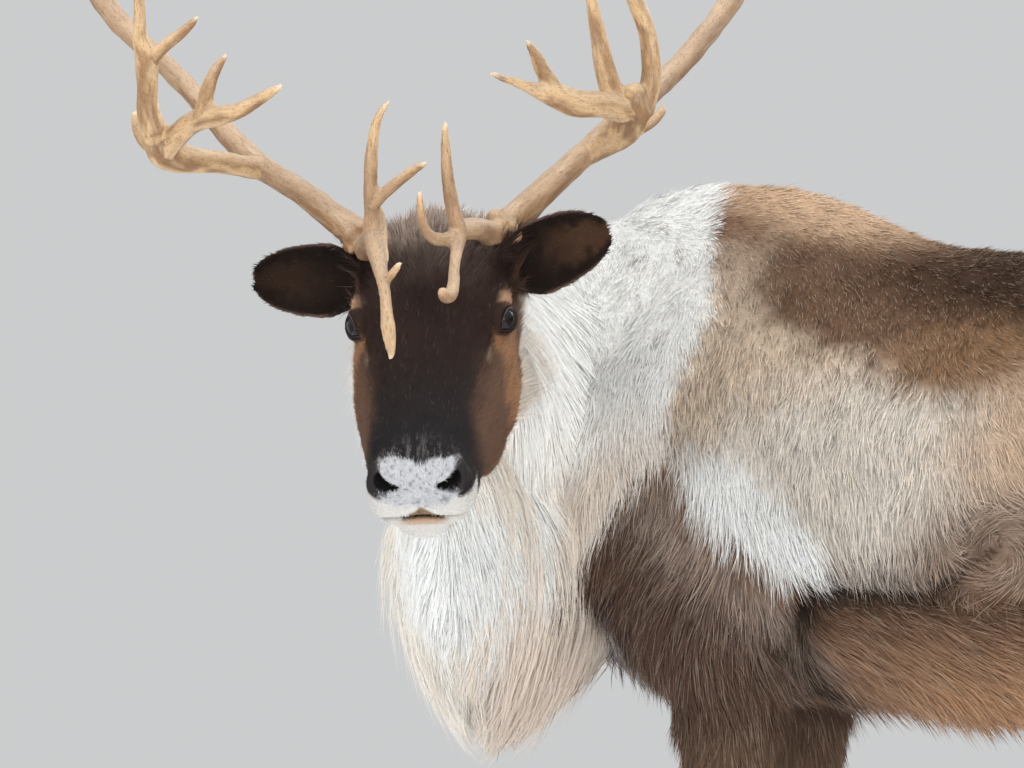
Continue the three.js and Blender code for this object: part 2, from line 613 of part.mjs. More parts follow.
// The body as one form, parted with thin cuts.
function bodyShapes() {
  const shapes = {};
  const legForms = legs.map(({ shape, side, step }) => leg(shape, side, step));
  const trunk = join([trunkSolid(0), ...legForms.map(legSolid)]);
  const cut = (z, low, high) =>
    box([low[0], low[1], z - gap / 2].map((v) => v * bodyScale), [high[0], high[1], z + gap / 2].map((v) => v * bodyScale));
  let parted = trunk;
  legs.forEach(({ side, elbow, wrist, shape }, i) => {
    const low = side < 0 ? -260 : 55;
    const high = side < 0 ? -55 : 260;
    const reach = shape === foreleg ? [-150, 150] : [600, 960];
    for (const level of [elbow, wrist]) {
      parted = parted.subtract(cut(level, [reach[0], low], [reach[1], high]));
    }
  });
  const pieces = parted.decompose();
  const middleOf = (piece) => {
    const { min, max } = piece.boundingBox();
    return min.map((value, i) => (value + max[i]) / 2);
  };
  const torso = pieces.reduce((best, next) => (next.volume() > best.volume() ? next : best));
  for (const { name, side, shape, wrist, elbow } of legs) {
    const mine = pieces.filter((piece) => {
      const [x, y] = middleOf(piece);
      return piece !== torso && Math.sign(y) === side && x < 400 === (shape === foreleg);
    });
    mine.sort((a, b) => middleOf(b)[2] - middleOf(a)[2]);
    shapes[`${name}_upper`] = mine[0];
    shapes[`${name}_lower`] = mine[1];
  }
  // The neck meets the chest on a slanting plane in front of the shoulders.
  const neckForm = solid(loft(scaled(neck, bodyScale), { sides: 16, rings: 12, keel: 0.1 }));
  const core = mane.map((at) => ({ ...at, up: at.up * 0.8, down: at.down * maneCore, side: at.side * 0.62 }));
  const maneForm = join([
    solid(loft(scaled(core, bodyScale), { sides: 10, rings: 7, keel: 0.35, pinch: 0.3 })),
    ...maneLocks().map((each) => each.scale(bodyScale)),
  ]);
  const slant = new THREE.Vector3(0.93, 0.34, 0.12).normalize();
  const place = new THREE.Vector3(-185, -20, 940).multiplyScalar(bodyScale).dot(slant);
  const all = join([torso, neckForm]);
  const front = all.trimByPlane(slant.clone().negate().toArray(), -place + gap / 2);
  const rear = all.trimByPlane(slant.toArray(), place + gap / 2);
  const head = moved(headSolid(2 * gap), headMatrix);
  shapes.torso = largest(rear);
  const tailForm = solid(loft(scaled(tail, bodyScale), { sides: 12, rings: 9, over: X }));
  shapes.tail = largest(tailForm.subtract(trunkSolid(gap)));
  const restGrown = trunkSolid(gap).trimByPlane(slant.toArray(), place - gap);
  const shoulders = join(legForms.slice(0, 2).map(legSolid));
  shapes.neck = largest(join([front, maneForm]).subtract(restGrown).subtract(shoulders).subtract(head));
  return shapes;
}

// The scene graph

const reindeer = new THREE.Group();
reindeer.position.set(-originX, originY, 0);

const material = (color, roughness) => new THREE.MeshStandardMaterial({ color, roughness, metalness: 0 });
const coatMaterial = material(hide.coat, 0.9);
const faceMaterial = material(hide.face, 0.85);
const antlerMaterial = material(hide.antler, 0.6);
const hoofMaterial = material(hide.hoof, 0.5);
const eyeMaterial = material(hide.eye, 0.1);
const maneMaterial = material(hide.mane, 0.95);

// A second look at the pieces after the numbers are rounded drops what only touched at a point.
function add(group, name, shape, look) {
  const mesh = new THREE.Mesh(geometryOf(largest(solid(geometryOf(largest(shape))))), look);
  mesh.name = name;
  group.add(mesh);
}

const body = new THREE.Group();
reindeer.add(body);
for (const [name, shape] of Object.entries(bodyShapes())) {
  add(body, name, shape, name === "neck" ? maneMaterial : coatMaterial);
}
for (const { name, shape, side, step } of legs) {
  const foot = stationAt(leg(shape, side, step), 1);
  for (const [place, claw] of [["inner", -side], ["outer", side]]) {
    add(body, `${name}_claw_${place}`, clawSolid(foot.x, foot.y, claw), hoofMaterial);
    const legForm = legSolid(leg(shape, side, step));
    const dewClaw = dewClawSolid(foot.x, foot.y, claw);
    add(body, `${name}_dewclaw_${place}`, dewClaw.subtract(moved(legForm, new THREE.Matrix4())), hoofMaterial);
  }
}

const head = new THREE.Group();
headMatrix.decompose(head.position, head.quaternion, head.scale);
reindeer.add(head);
add(head, "head", carvedHead(), faceMaterial);
const headGrown = headSolid(gap);
for (const side of [-1, 1]) {
  const label = side > 0 ? "left" : "right";
  const { x, y, z, radius } = eyePlace;
  add(head, `eye_${label}`, ellipsoid([x, side * y, z], [radius, radius, radius], 12, 8), eyeMaterial);
}
for (const ear of ears) {
  const antler = ear.side > 0 ? leftAntler : rightAntler;
  const shape = earSolid(ear).subtract(headGrown).subtract(beamSolid(antler, gap)).subtract(browSolid(antler, gap));
  add(head, ear.side > 0 ? "ear_left" : "ear_right", shape, faceMaterial);
}
for (const antler of [leftAntler, rightAntler]) {
  for (const [name, shape] of Object.entries(antlerNodes(antler))) {
    const grown = new THREE.Matrix4().makeScale(antlerSize, antlerSize, antlerSize);
    add(head, name, moved(shape, grown).subtract(headGrown), antlerMaterial);
  }
}

export default reindeer;
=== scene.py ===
import math

import bmesh
import bpy
import numpy as np
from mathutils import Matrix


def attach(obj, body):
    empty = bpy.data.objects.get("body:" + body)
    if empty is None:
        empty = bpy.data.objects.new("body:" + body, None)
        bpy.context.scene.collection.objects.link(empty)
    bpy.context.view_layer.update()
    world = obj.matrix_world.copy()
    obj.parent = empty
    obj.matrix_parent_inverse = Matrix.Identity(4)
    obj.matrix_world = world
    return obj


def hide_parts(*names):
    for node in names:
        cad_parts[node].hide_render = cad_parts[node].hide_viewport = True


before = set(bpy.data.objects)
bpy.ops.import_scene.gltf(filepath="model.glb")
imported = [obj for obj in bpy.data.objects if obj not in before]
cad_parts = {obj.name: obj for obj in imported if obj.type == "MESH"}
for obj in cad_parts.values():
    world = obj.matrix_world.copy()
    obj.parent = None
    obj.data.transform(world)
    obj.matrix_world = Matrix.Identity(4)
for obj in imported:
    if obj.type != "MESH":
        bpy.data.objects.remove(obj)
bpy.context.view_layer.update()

# Camera at the photo's angle and framing: 20 degrees behind square to the left side, level, about 7.4 m off.
view = {"lens": 244.34, "place": (2.1439, -6.8490, 0.980), "heading": 20}
cameraData = bpy.data.cameras.new("camera")
cameraData.lens = view["lens"]
cameraData.clip_end = 200
camera = bpy.data.objects.new("camera", cameraData)
camera.location = view["place"]
camera.rotation_euler = (math.radians(90), 0, math.radians(view["heading"]))
bpy.context.scene.collection.objects.link(camera)
bpy.context.scene.camera = camera

# The tables are in millimetres from the ground below the withers, as in the CAD source.
withersPlace = np.array([-139.0, 195.0, 0.0])
headPlace = np.array([-198.0, -466.0, 1041.0])


def turned(roll, pitch, yaw):
    cr, sr, cp, sp, cy, sy = (f(math.radians(a)) for a in (roll, pitch, yaw) for f in (math.cos, math.sin))
    rollMatrix = np.array([[1, 0, 0], [0, cr, -sr], [0, sr, cr]])
    pitchMatrix = np.array([[cp, 0, sp], [0, 1, 0], [-sp, 0, cp]])
    yawMatrix = np.array([[cy, -sy, 0], [sy, cy, 0], [0, 0, 1]])
    return yawMatrix @ pitchMatrix @ rollMatrix


headTurn = turned(3, 36, -74)  # roll, pitch and yaw in degrees


def toFrame(points):
    return (points + withersPlace) / 1000


def toHead(points):
    return (points - headPlace) @ headTurn


def fromHead(points):
    return points @ headTurn.T + headPlace


def unit(vectors):
    vectors = np.asarray(vectors, float)
    return vectors / np.maximum(np.linalg.norm(vectors, axis=-1, keepdims=True), 1e-9)


def dots(a, b):
    return np.sum(a * b, axis=-1)


def ramp(low, high, values):
    t = np.clip((np.asarray(values, float) - low) / (high - low), 0, 1)
    return t * t * (3 - 2 * t)


def hump(values, middle, width):
    return np.exp(-(((values - middle) / width) ** 2))


def mixed(a, b, share):
    return a + (np.asarray(b) - a) * np.asarray(share)[..., None]


# Smooth random levels from -1 to 1 over cells of the given size. The long numbers only scramble the cells.
def noise(points, size, seed=0):
    spots = points / size
    base = np.floor(spots).astype(np.int64)
    part = spots - base
    part = part * part * (3 - 2 * part)
    total = np.zeros(len(points))
    for corner in range(8):
        step = np.array([corner & 1, corner >> 1 & 1, corner >> 2 & 1])
        key = base + step
        mark = key[:, 0] * 73856093 ^ key[:, 1] * 19349663 ^ key[:, 2] * 83492791 ^ (seed + 1) * 6542989
        mark = ((mark ^ (mark >> 13)) * 1274126177) & 0xFFFFFFFF
        mark = ((mark ^ (mark >> 15)) * 668265263) & 0xFFFFFFFF
        weight = np.prod(np.where(step == 1, part, 1 - part), axis=1)
        total += weight * (mark / 2**31 - 1)
    return total


def noiseVector(points, size, seed):
    return np.stack([noise(points, size, seed + i) for i in range(3)], axis=1)


# Shapes as (points, triangles)


def curveAt(table, u):
    table = np.asarray(table, float)
    last = len(table) - 1
    place = np.clip(np.asarray(u, float) * last, 0, last - 1e-9)
    i = place.astype(int)
    t = (place - i)[:, None]
    a, b, c, d = (table[np.clip(i + n, 0, last)] for n in (-1, 0, 1, 2))
    return 0.5 * (2 * b + (c - a) * t + (2 * a - 5 * b + 4 * c - d) * t**2 + (3 * b - a - 3 * c + d) * t**3)


# A closed tube through stations (x, y, z, up, down, side and maybe pinch). over points up from its line, and
# carry turns that with the line; keel and pinch narrow it below and above; grow thickens it all round.
def loft(
    table, sides=40, rings=60, over=(0, 0, 1), along=None, carry=False, pinch=0, keel=0, square=2, grow=0
):
    steps = np.linspace(0, 1, rings + 1)
    line = curveAt(table, steps)
    grow = np.interp(steps, np.linspace(0, 1, np.size(grow)), np.atleast_1d(grow))
    middles = line[:, :3].copy()
    spread = np.arange(rings + 1)
    tangents = unit(middles[np.minimum(spread + 1, rings)] - middles[np.maximum(spread - 1, 0)])
    if along is not None:
        tangents[:] = along
    above = np.array(over, float)
    across, ups = np.empty_like(middles), np.empty_like(middles)
    for i, tangent in enumerate(tangents):
        across[i] = unit(np.cross(above, tangent))
        ups[i] = np.cross(tangent, across[i])
        if carry:
            above = ups[i]
    middles[0] -= tangents[0] * grow[0]
    middles[-1] += tangents[-1] * grow[-1]
    angles = np.linspace(0, 2 * np.pi, sides, endpoint=False)
    c, s = np.cos(angles), np.sin(angles)
    wide = np.sign(c) * np.abs(c) ** (2 / square)
    high = np.sign(s) * np.abs(s) ** (2 / square)
    narrow = line[:, 6] if line.shape[1] > 6 else np.full(rings + 1, float(pinch))
    squeeze = 1 - np.where(s > 0, narrow[:, None], keel) * s**2
    half = np.maximum(line[:, 5] + grow, 0.5)[:, None] * squeeze
    reach = np.maximum(np.where(s > 0, line[:, 3:4], line[:, 4:5]) + grow[:, None], 0.5)
    sideways = across[:, None] * (wide * half)[..., None]
    upwards = ups[:, None] * (high * reach)[..., None]
    points = np.concatenate([(middles[:, None] + sideways + upwards).reshape(-1, 3), middles[[0, -1]]])
    first, last = len(points) - 2, len(points) - 1
    j = np.arange(sides)
    k = (j + 1) % sides
    i = (np.arange(rings) * sides)[:, None]
    a, b = (i + j).ravel(), (i + k).ravel()
    triangles = [
        np.stack([a, b, b + sides], 1),
        np.stack([a, b + sides, a + sides], 1),
        np.stack([np.full(sides, first), k, j], 1),
        np.stack([np.full(sides, last), rings * sides + j, rings * sides + k], 1),
    ]
    return points, np.concatenate(triangles)


def ball(middle, radii, across=32, down=20):
    slopes = np.linspace(0, np.pi, down + 1)[1:-1]
    level = np.array([[math.cos(a)] for a in slopes])
    wide = np.array([[math.sin(a)] for a in slopes])
    turn = np.linspace(0, 2 * np.pi, across, endpoint=False)
    points = np.stack([np.repeat(level, across, 1), wide * np.cos(turn), wide * np.sin(turn)], axis=2)
    points = np.concatenate([points.reshape(-1, 3), [[1, 0, 0], [-1, 0, 0]]]) * radii + middle
    count = down - 1
    faces = []
    for row in range(count - 1):
        for n in range(across):
            a, b = row * across + n, row * across + (n + 1) % across
            faces += [(a, a + across, b + across), (a, b + across, b)]
    front, back = count * across, count * across + 1
    for n in range(across):
        m = (n + 1) % across
        faces += [(front, n, m), (back, (count - 1) * across + m, (count - 1) * across + n)]
    return points, np.array(faces)


def joined(shapes):
    points, faces, start = [], [], 0
    for spots, triangles in shapes:
        points.append(spots)
        faces.append(triangles + start)
        start += len(spots)
    return np.concatenate(points), np.concatenate(faces)


def meshFrom(name, points, triangles):
    mesh = bpy.data.meshes.new(name)
    mesh.vertices.add(len(points))
    mesh.vertices.foreach_set("co", np.asarray(points, np.float32).ravel())
    mesh.loops.add(triangles.size)
    mesh.loops.foreach_set("vertex_index", np.asarray(triangles, np.int32).ravel())
    mesh.polygons.add(len(triangles))
    mesh.polygons.foreach_set("loop_start", np.arange(0, triangles.size, 3, dtype=np.int32))
    mesh.polygons.foreach_set("use_smooth", np.full(len(triangles), True))
    mesh.update(calc_edges=True)
    return mesh


# An item with its material, its colours at each point, and the places that its material's grain is read at
def objectFrom(name, points, triangles, look=None, colours=None, grain=None):
    item = bpy.data.objects.new(name, meshFrom(name, points, triangles))
    bpy.context.scene.collection.objects.link(item)
    if look is not None:
        item.data.materials.append(look)
    if colours is not None:
        layer = item.data.attributes.new("coat", "FLOAT_COLOR", "POINT")
        full = np.ones((len(colours), 4), np.float32)
        full[:, :3] = colours
        layer.data.foreach_set("color", full.ravel())
    if grain is not None:
        layer = item.data.attributes.new("grain", "FLOAT_VECTOR", "POINT")
        layer.data.foreach_set("vector", np.asarray(grain, np.float32).ravel())
    return item


def arraysOf(mesh):
    points = np.empty(len(mesh.vertices) * 3, np.float32)
    mesh.vertices.foreach_get("co", points)
    mesh.calc_loop_triangles()
    triangles = np.empty(len(mesh.loop_triangles) * 3, np.int32)
    mesh.loop_triangles.foreach_get("vertices", triangles)
    return points.reshape(-1, 3).astype(float), triangles.reshape(-1, 3)


# The shape that one modifier makes of an object.
def shapeAfter(item, kind, settings):
    modifier = item.modifiers.new("change", kind)
    for key, value in settings.items():
        setattr(modifier, key, value)
    depsgraph = bpy.context.evaluated_depsgraph_get()
    mesh = bpy.data.meshes.new_from_object(item.evaluated_get(depsgraph))
    points, triangles = arraysOf(mesh)
    bpy.data.meshes.remove(mesh)
    return points, triangles


def dropped(*items):
    for item in items:
        mesh = item.data
        bpy.data.objects.remove(item)
        bpy.data.meshes.remove(mesh)


# One closed surface round all the shapes, in even steps.
def fused(shapes, step):
    points, triangles = joined(shapes)
    item = objectFrom("form", points / 1000, triangles)
    points, triangles = shapeAfter(item, "REMESH", {"mode": "VOXEL", "voxel_size": step / 1000})
    dropped(item)
    return points * 1000, triangles


def edgesOf(triangles):
    pairs = np.concatenate([triangles[:, [0, 1]], triangles[:, [1, 2]], triangles[:, [2, 0]]])
    return np.unique(np.sort(pairs, axis=1), axis=0)


# Evens the surface out and keeps its size, by small steps in and out; share says how far each point may move.
def relaxed(points, triangles, rounds, share=None):
    edges = edgesOf(triangles)
    count = len(points)
    both = np.concatenate([edges, edges[:, ::-1]])
    links = np.maximum(np.bincount(both[:, 0], minlength=count), 1)
    share = np.ones(count) if share is None else share
    points = points.copy()
    for step in (0.55, -0.56) * rounds:
        mean = np.stack([np.bincount(both[:, 0], points[both[:, 1], i], count) for i in range(3)], 1)
        points += (mean / links[:, None] - points) * (step * share)[:, None]
    return points


def normalsOf(points, triangles):
    a, b, c = (points[triangles[:, i]] for i in range(3))
    faces = np.cross(b - a, c - a)
    total = np.zeros_like(points)
    for i in range(3):
        for k in range(3):
            total[:, k] += np.bincount(triangles[:, i], faces[:, k], len(points))
    return unit(total)


# Splits the faces round the chosen points, so that small forms can be carved there.
def refined(points, triangles, chosen):
    bm = bmesh.new()
    mesh = meshFrom("fine", points, triangles)
    bm.from_mesh(mesh)
    bpy.data.meshes.remove(mesh)
    bm.verts.ensure_lookup_table()
    near = set(np.nonzero(chosen)[0].tolist())
    edges = [edge for edge in bm.edges if edge.verts[0].index in near and edge.verts[1].index in near]
    bmesh.ops.subdivide_edges(bm, edges=edges, cuts=1, use_grid_fill=True)
    bmesh.ops.triangulate(bm, faces=bm.faces[:])
    mesh = bpy.data.meshes.new("fine")
    bm.to_mesh(mesh)
    bm.free()
    points, triangles = arraysOf(mesh)
    bpy.data.meshes.remove(mesh)
    return points, triangles


# Body sizes, as in the CAD source: trunk rings (place, top, bottom, level and half width where widest, pinch)
trunkRings = [
    (-272, 900, 810, 850, 40, 0), (-256, 990, 745, 860, 88, 0.1), (-222, 1085, 705, 865, 126, 0.3),
    (-168, 1155, 682, 870, 152, 0.4), (-95, 1192, 658, 875, 176, 0.46), (0, 1200, 648, 875, 198, 0.48),
    (90, 1181, 641, 872, 218, 0.42), (195, 1136, 629, 868, 243, 0.3), (300, 1124, 616, 865, 258, 0.22),
    (420, 1120, 607, 862, 265, 0.2), (540, 1124, 611, 865, 260, 0.2), (660, 1132, 637, 876, 240, 0.2),
    (765, 1130, 678, 890, 212, 0.2), (850, 1108, 730, 905, 178, 0.15), (920, 1064, 792, 918, 134, 0.1),
    (965, 1010, 852, 928, 86, 0.1), (984, 965, 900, 934, 36, 0),
]
foreleg = [
    (25, 60, 1130, 38, 48, 24), (-15, 92, 1050, 70, 75, 50), (-70, 118, 950, 90, 94, 64),
    (-100, 130, 850, 98, 120, 68), (-52, 136, 760, 84, 118, 66), (-6, 134, 692, 66, 72, 58),
    (5, 130, 640, 60, 62, 50), (4, 127, 560, 48, 50, 42), (0, 124, 460, 35, 38, 34),
    (-4, 122, 388, 34, 33, 33), (-4, 122, 348, 36, 31, 35), (2, 122, 296, 27, 26, 27),
    (4, 122, 220, 22, 24, 23), (4, 123, 152, 23, 29, 25), (0, 124, 118, 28, 33, 31),
    (-10, 125, 90, 29, 29, 31), (-22, 126, 62, 38, 36, 38),
]
hindleg = [
    (800, 66, 1064, 100, 80, 44), (795, 98, 980, 150, 128, 78), (780, 120, 890, 168, 144, 88),
    (754, 132, 800, 152, 132, 82), (748, 136, 722, 118, 108, 68), (772, 133, 640, 80, 80, 53),
    (810, 128, 560, 52, 56, 41), (840, 125, 500, 40, 48, 35), (853, 124, 458, 42, 42, 35),
    (852, 124, 412, 37, 33, 32), (846, 124, 330, 27, 26, 26), (842, 125, 232, 24, 25, 24),
    (838, 126, 160, 25, 30, 27), (832, 126, 124, 29, 33, 31), (822, 127, 92, 29, 29, 31),
    (812, 128, 62, 38, 36, 38),
]
neckLine = [
    (-60, 0, 925, 215, 225, 125, 0.45), (-165, -12, 925, 238, 222, 128, 0.45),
    (-236, -84, 940, 222, 205, 122, 0.42), (-254, -185, 960, 188, 185, 112, 0.36),
    (-246, -288, 988, 145, 150, 98, 0.3), (-232, -368, 1010, 104, 118, 84, 0.25),
    (-218, -412, 1018, 70, 90, 66, 0.2),
]
maneLine = [
    (-150, 14, 800, 120, 90, 76), (-196, -48, 805, 150, 150, 108), (-228, -120, 810, 160, 198, 130),
    (-240, -200, 820, 160, 216, 122), (-230, -285, 846, 150, 206, 84), (-220, -352, 884, 130, 162, 64),
    (-212, -402, 924, 80, 96, 44),
]
tailLine = [
    (950, 0, 1045, 20, 20, 24), (985, 0, 1030, 24, 24, 32), (1010, 0, 985, 26, 24, 37),
    (1016, 0, 925, 22, 20, 32), (1010, 0, 885, 7, 7, 10),
]
legSet = [
    {"name": "foreleg_left", "table": foreleg, "side": -1, "step": 0},
    {"name": "foreleg_right", "table": foreleg, "side": 1, "step": 0},
    {"name": "hindleg_left", "table": hindleg, "side": -1, "step": -25},
    {"name": "hindleg_right", "table": hindleg, "side": 1, "step": 85},
]


legRoot = 850  # a leg that steps forward or back leans from this height down


def legTable(leg):
    made = np.array(leg["table"], float)
    made[:, 0] -= leg["step"] * np.maximum(0, 1 - made[:, 2] / legRoot)
    made[:, 1] *= leg["side"]
    return made


# Rings given by their top and bottom, as stations for loft
def stationsOf(rings):
    return [(x, 0, wide, top - wide, wide - bottom, *rest) for x, top, bottom, wide, *rest in rings]


# How deep the coat is over the skin, in millimetres; on a leg, from its top to its foot
coatDepth = {"trunk": 8, "neck": 9, "tail": 9, "leg": [8, 8, 8, 8, 7, 6, 4.5, 3.5, 3, 2.5, 2.5, 2.5, 2.5]}
maneCore = np.array([1, 1, 1, 0.86, 0.74, 0.74])  # how much of the mane is skin, below its strands

bodyForms = [
    loft(stationsOf(trunkRings), sides=72, rings=110, along=(1, 0, 0), keel=0.12, grow=-coatDepth["trunk"]),
    loft(neckLine, sides=64, rings=60, keel=0.1, grow=-coatDepth["neck"]),
    loft(np.array(maneLine) * maneCore, sides=40, rings=40, pinch=0.3, keel=0.35),
    loft(tailLine, sides=28, rings=30, over=(1, 0, 0), grow=-coatDepth["tail"]),
]
legDepth = -np.array(coatDepth["leg"])
for leg in legSet:
    bodyForms.append(loft(legTable(leg), sides=36, rings=90, over=(-1, 0, 0), square=2.1, grow=legDepth))
bodyPoints, bodyTriangles = fused(bodyForms, 8.6)
bodyPoints = relaxed(bodyPoints, bodyTriangles, 16)
print("stage: body form", len(bodyTriangles))


def sideView(points):
    return points[:, [0, 2]]


def lineDistance(points, path):
    best = np.full(len(points), 1e9)
    for a, b in zip(np.array(path[:-1], float), np.array(path[1:], float)):
        share = np.clip((points - a) @ (b - a) / ((b - a) @ (b - a)), 0, 1)
        best = np.minimum(best, np.linalg.norm(points - a - share[:, None] * (b - a), axis=1))
    return best


# 1 on a line, and less beside it
def beside(points, path, width):
    return hump(lineDistance(points, path), 0, width)


# Folds as lines of (place along the back, height); the neck's also has the place across
folds = {
    "elbow": [(62, 700), (84, 742), (110, 762), (165, 768), (228, 762), (290, 784), (326, 812)],
    "arm": [(96, 748), (90, 723), (87, 706), (77, 693), (78, 676), (85, 652), (94, 638)],
    "shoulder": [(-45, 890), (60, 830), (140, 800)],
    "neck": [(-152, -113, 1037), (-140, -147, 963), (-122, -168, 879)],
}
# The crease behind the elbow, the roll of the belly under it, the shoulder's edge, and the side of the neck
normals = normalsOf(bodyPoints, bodyTriangles)
flat = sideView(bodyPoints)
sideways = np.abs(normals[:, 1])
outward = ramp(0.25, 0.6, sideways)
belly = hump(flat[:, 1], 700, 42) * ramp(60, 130, flat[:, 0]) * ramp(640, 520, flat[:, 0])
push = -17 * beside(flat, folds["elbow"], 13) * outward
push += 7 * belly * ramp(0.1, 0.6, sideways) * ramp(110, 150, np.abs(bodyPoints[:, 1]))
push += 5 * beside(flat, folds["shoulder"], 26) * outward
push += 14 * beside(bodyPoints, folds["neck"], 32)
push += 1.6 * noise(bodyPoints, 60, 3) * ramp(500, 640, bodyPoints[:, 2])
bodyPoints += normals * push[:, None]

# Head, in its own frame: x to the nose, y to its left, z up from the face
skullRings = [
    (-150, 8, -62, -30, 46), (-132, 38, -92, -30, 70), (-100, 58, -116, -30, 80), (-60, 56, -134, -34, 83),
    (-20, 45, -140, -38, 82), (20, 33, -138, -46, 82), (60, 24, -129, -54, 79), (100, 16, -116, -54, 73),
    (140, 9, -106, -52, 65), (180, 4, -100, -48, 58), (210, 0, -96, -45, 56), (232, -7, -88, -44, 52),
    (246, -19, -72, -44, 42), (252, -32, -56, -44, 22),
]
# Eye ball, the way it looks, and its opening, which is long along the slit
eye = {"place": (4, 66.5, 5), "radius": 18, "look": (0.44, 0.86, 0.26), "slit": (0.8, -0.5, -0.34),
       "half": 16, "above": 9.8, "below": 9.0}
nostril = {"place": (243, 33, -22), "long": (-0.36, 0.86, 0.36), "half": 13.5, "thick": 5.4}
mouth = {"front": 212, "level": -63, "slope": 0.2027, "sag": 0.0035, "width": 40}
earSet = [
    {"side": 1, "root": (-74, 70, 8), "axis": (-0.36, 0.9, 0.15), "open": (0.8, 0.16, 0.55)},
    {"side": -1, "root": (-69, -72, 7), "axis": (-0.1, -0.98, 0.02), "open": (0.78, -0.16, 0.6)},
]
earShape = {"length": 118, "thick": 6.5, "steps": 40, "across": 36}


def mirrored(vector, side):
    return np.array([vector[0], vector[1] * side, vector[2]], float)


def earAxes(ear):
    along = unit(ear["axis"])
    back = -np.array(ear["open"], float)
    back = unit(back - along * (back @ along))
    return along, back, np.cross(along, back)


# How wide an ear is towards its tip, as a share of its widest
def earTaper(u, least=0.0):
    return np.sqrt(np.maximum(least, 1 - np.maximum(0, (u - 0.42) / 0.6) ** 2.2))


# The cup of an ear: rolled at its base, open towards the face, and ending in a point.
def earForm(ear):
    along, back, wide = earAxes(ear)
    steps, across = earShape["steps"], earShape["across"]
    grids = []
    for inset in (0, earShape["thick"]):
        u = np.linspace(0, 1, steps + 1)[:, None]
        share = np.linspace(-1, 1, across + 1)[None, :]
        taper = earTaper(u)
        half = (20 + 19 * np.sin(np.pi / 2 * np.minimum(1, u * 2.6))) * taper
        angle = np.radians(135 - 87 * np.minimum(1, u * 1.7))
        bend = half / np.sin(np.minimum(angle, np.pi / 2))
        ring = np.maximum(bend - inset * (1 - 0.3 * np.abs(share)) * np.maximum(0.75, taper), bend * 0.3)
        length = earShape["length"] * u - (u == 1) * inset * 0.4
        lift = 7 * np.sin(np.pi * u) - bend * 0.4 + ring * np.cos(angle * share)
        spots = np.array(ear["root"]) + along * length[..., None] + back * lift[..., None]
        grids.append(spots + wide * (ring * np.sin(angle * share))[..., None])
    points = np.concatenate([grid.reshape(-1, 3) for grid in grids])
    row, inner = across + 1, (across + 1) * (steps + 1)
    faces = []

    def quad(a, b, c, d):
        faces.extend([(a, b, c), (a, c, d)])

    for i in range(steps):
        for j in range(across):
            a = i * row + j
            quad(a, a + row, a + row + 1, a + 1)
            quad(inner + a, inner + a + 1, inner + a + row + 1, inner + a + row)
        low, high = i * row, i * row + across
        quad(low, inner + low, inner + low + row, low + row)
        quad(high, high + row, inner + high + row, inner + high)
    for j in range(across):
        tip = steps * row + j
        quad(j, j + 1, inner + j + 1, inner + j)
        quad(tip, inner + tip, inner + tip + 1, tip + 1)
    return points, np.array(faces)


skull = {"sides": 72, "rings": 90, "along": (1, 0, 0), "pinch": 0.06, "keel": 0.28, "square": 2.35,
         "grow": -1}
headForms = [loft(stationsOf(skullRings), **skull), ball((220, 0, -78), (21, 30, 22))]  # skull and chin
for side in (-1, 1):
    headForms += [
        ball((-16, side * 59, 11), (31, 23, 19)),  # brow
        ball((-12, side * 56, -78), (60, 26, 48)),  # cheek
        ball((24, side * 58, -72), (66, 25, 44)),  # jaw muscle
        ball((60, side * 47, -84), (76, 26, 37)),  # side of the jaw
        ball((-90, side * 58, 26), (26, 22, 24)),  # pedicle
        ball((226, side * 31, -31), (22, 22, 23)),  # side of the nose
        ball(mirrored(eye["place"], side), (21, 21, 21)),  # lids
    ]
headForms += [earForm(ear) for ear in earSet]
headPoints, headTriangles = fused(headForms, 2.7)
headPoints = relaxed(headPoints, headTriangles, 7)
print("stage: head form", len(headTriangles))


def eyeAxes(side):
    look = unit(mirrored(eye["look"], side))
    slit = mirrored(eye["slit"], side)
    slit = unit(slit - look * (slit @ look))
    lift = np.cross(look, slit)
    return look, slit, lift * np.sign(lift[2])


def nostrilAxes(side):
    long = unit(mirrored(nostril["long"], side))
    front = np.array([1.0, 0, 0])
    return long, np.cross(long, unit(front - long * (front @ long)))


# Distance past the edge of the eye opening, in millimetres, less than 0 inside it.
def lidEdge(points, side):
    slit, lift = eyeAxes(side)[1:]
    rel = points - mirrored(eye["place"], side)
    a, b = rel @ slit, rel @ lift
    height = np.where(b > 0, eye["above"], eye["below"])
    return (np.abs(b) / height + np.abs(a / eye["half"]) ** 2.2 - 1) * 7.5  # a share, as millimetres


# Distance from a nostril's middle as a share of its own size: 1 at its rim, and 9 far off
def nostrilShare(points, side):
    long, thin = nostrilAxes(side)
    rel = points - mirrored(nostril["place"], side)
    a, b = rel @ long, rel @ thin
    b = b - 0.02 * a * a * np.sign(thin[2])
    share = np.sqrt((a / nostril["half"]) ** 2 + (b / (nostril["thick"] + 0.12 * a)) ** 2)
    return np.where((points[:, 1] * side > 4) & (points[:, 0] > 200), share, 9)


# Height over the line of the mouth
def mouthGap(points):
    wide = np.minimum(np.abs(points[:, 1]), mouth["width"])
    level = mouth["level"] + mouth["slope"] * (points[:, 0] - mouth["front"]) - mouth["sag"] * wide**2
    return points[:, 2] - level


def eyeDistance(points):
    return np.minimum(*(np.linalg.norm(points - mirrored(eye["place"], side), axis=1) for side in (-1, 1)))


chosen = (eyeDistance(headPoints) < 36) | (headPoints[:, 0] > 212)  # round the eyes, and the nose
headPoints, headTriangles = refined(headPoints, headTriangles, chosen)
headPoints, headTriangles = refined(headPoints, headTriangles, eyeDistance(headPoints) < 27)
headPoints = relaxed(headPoints, headTriangles, 4)

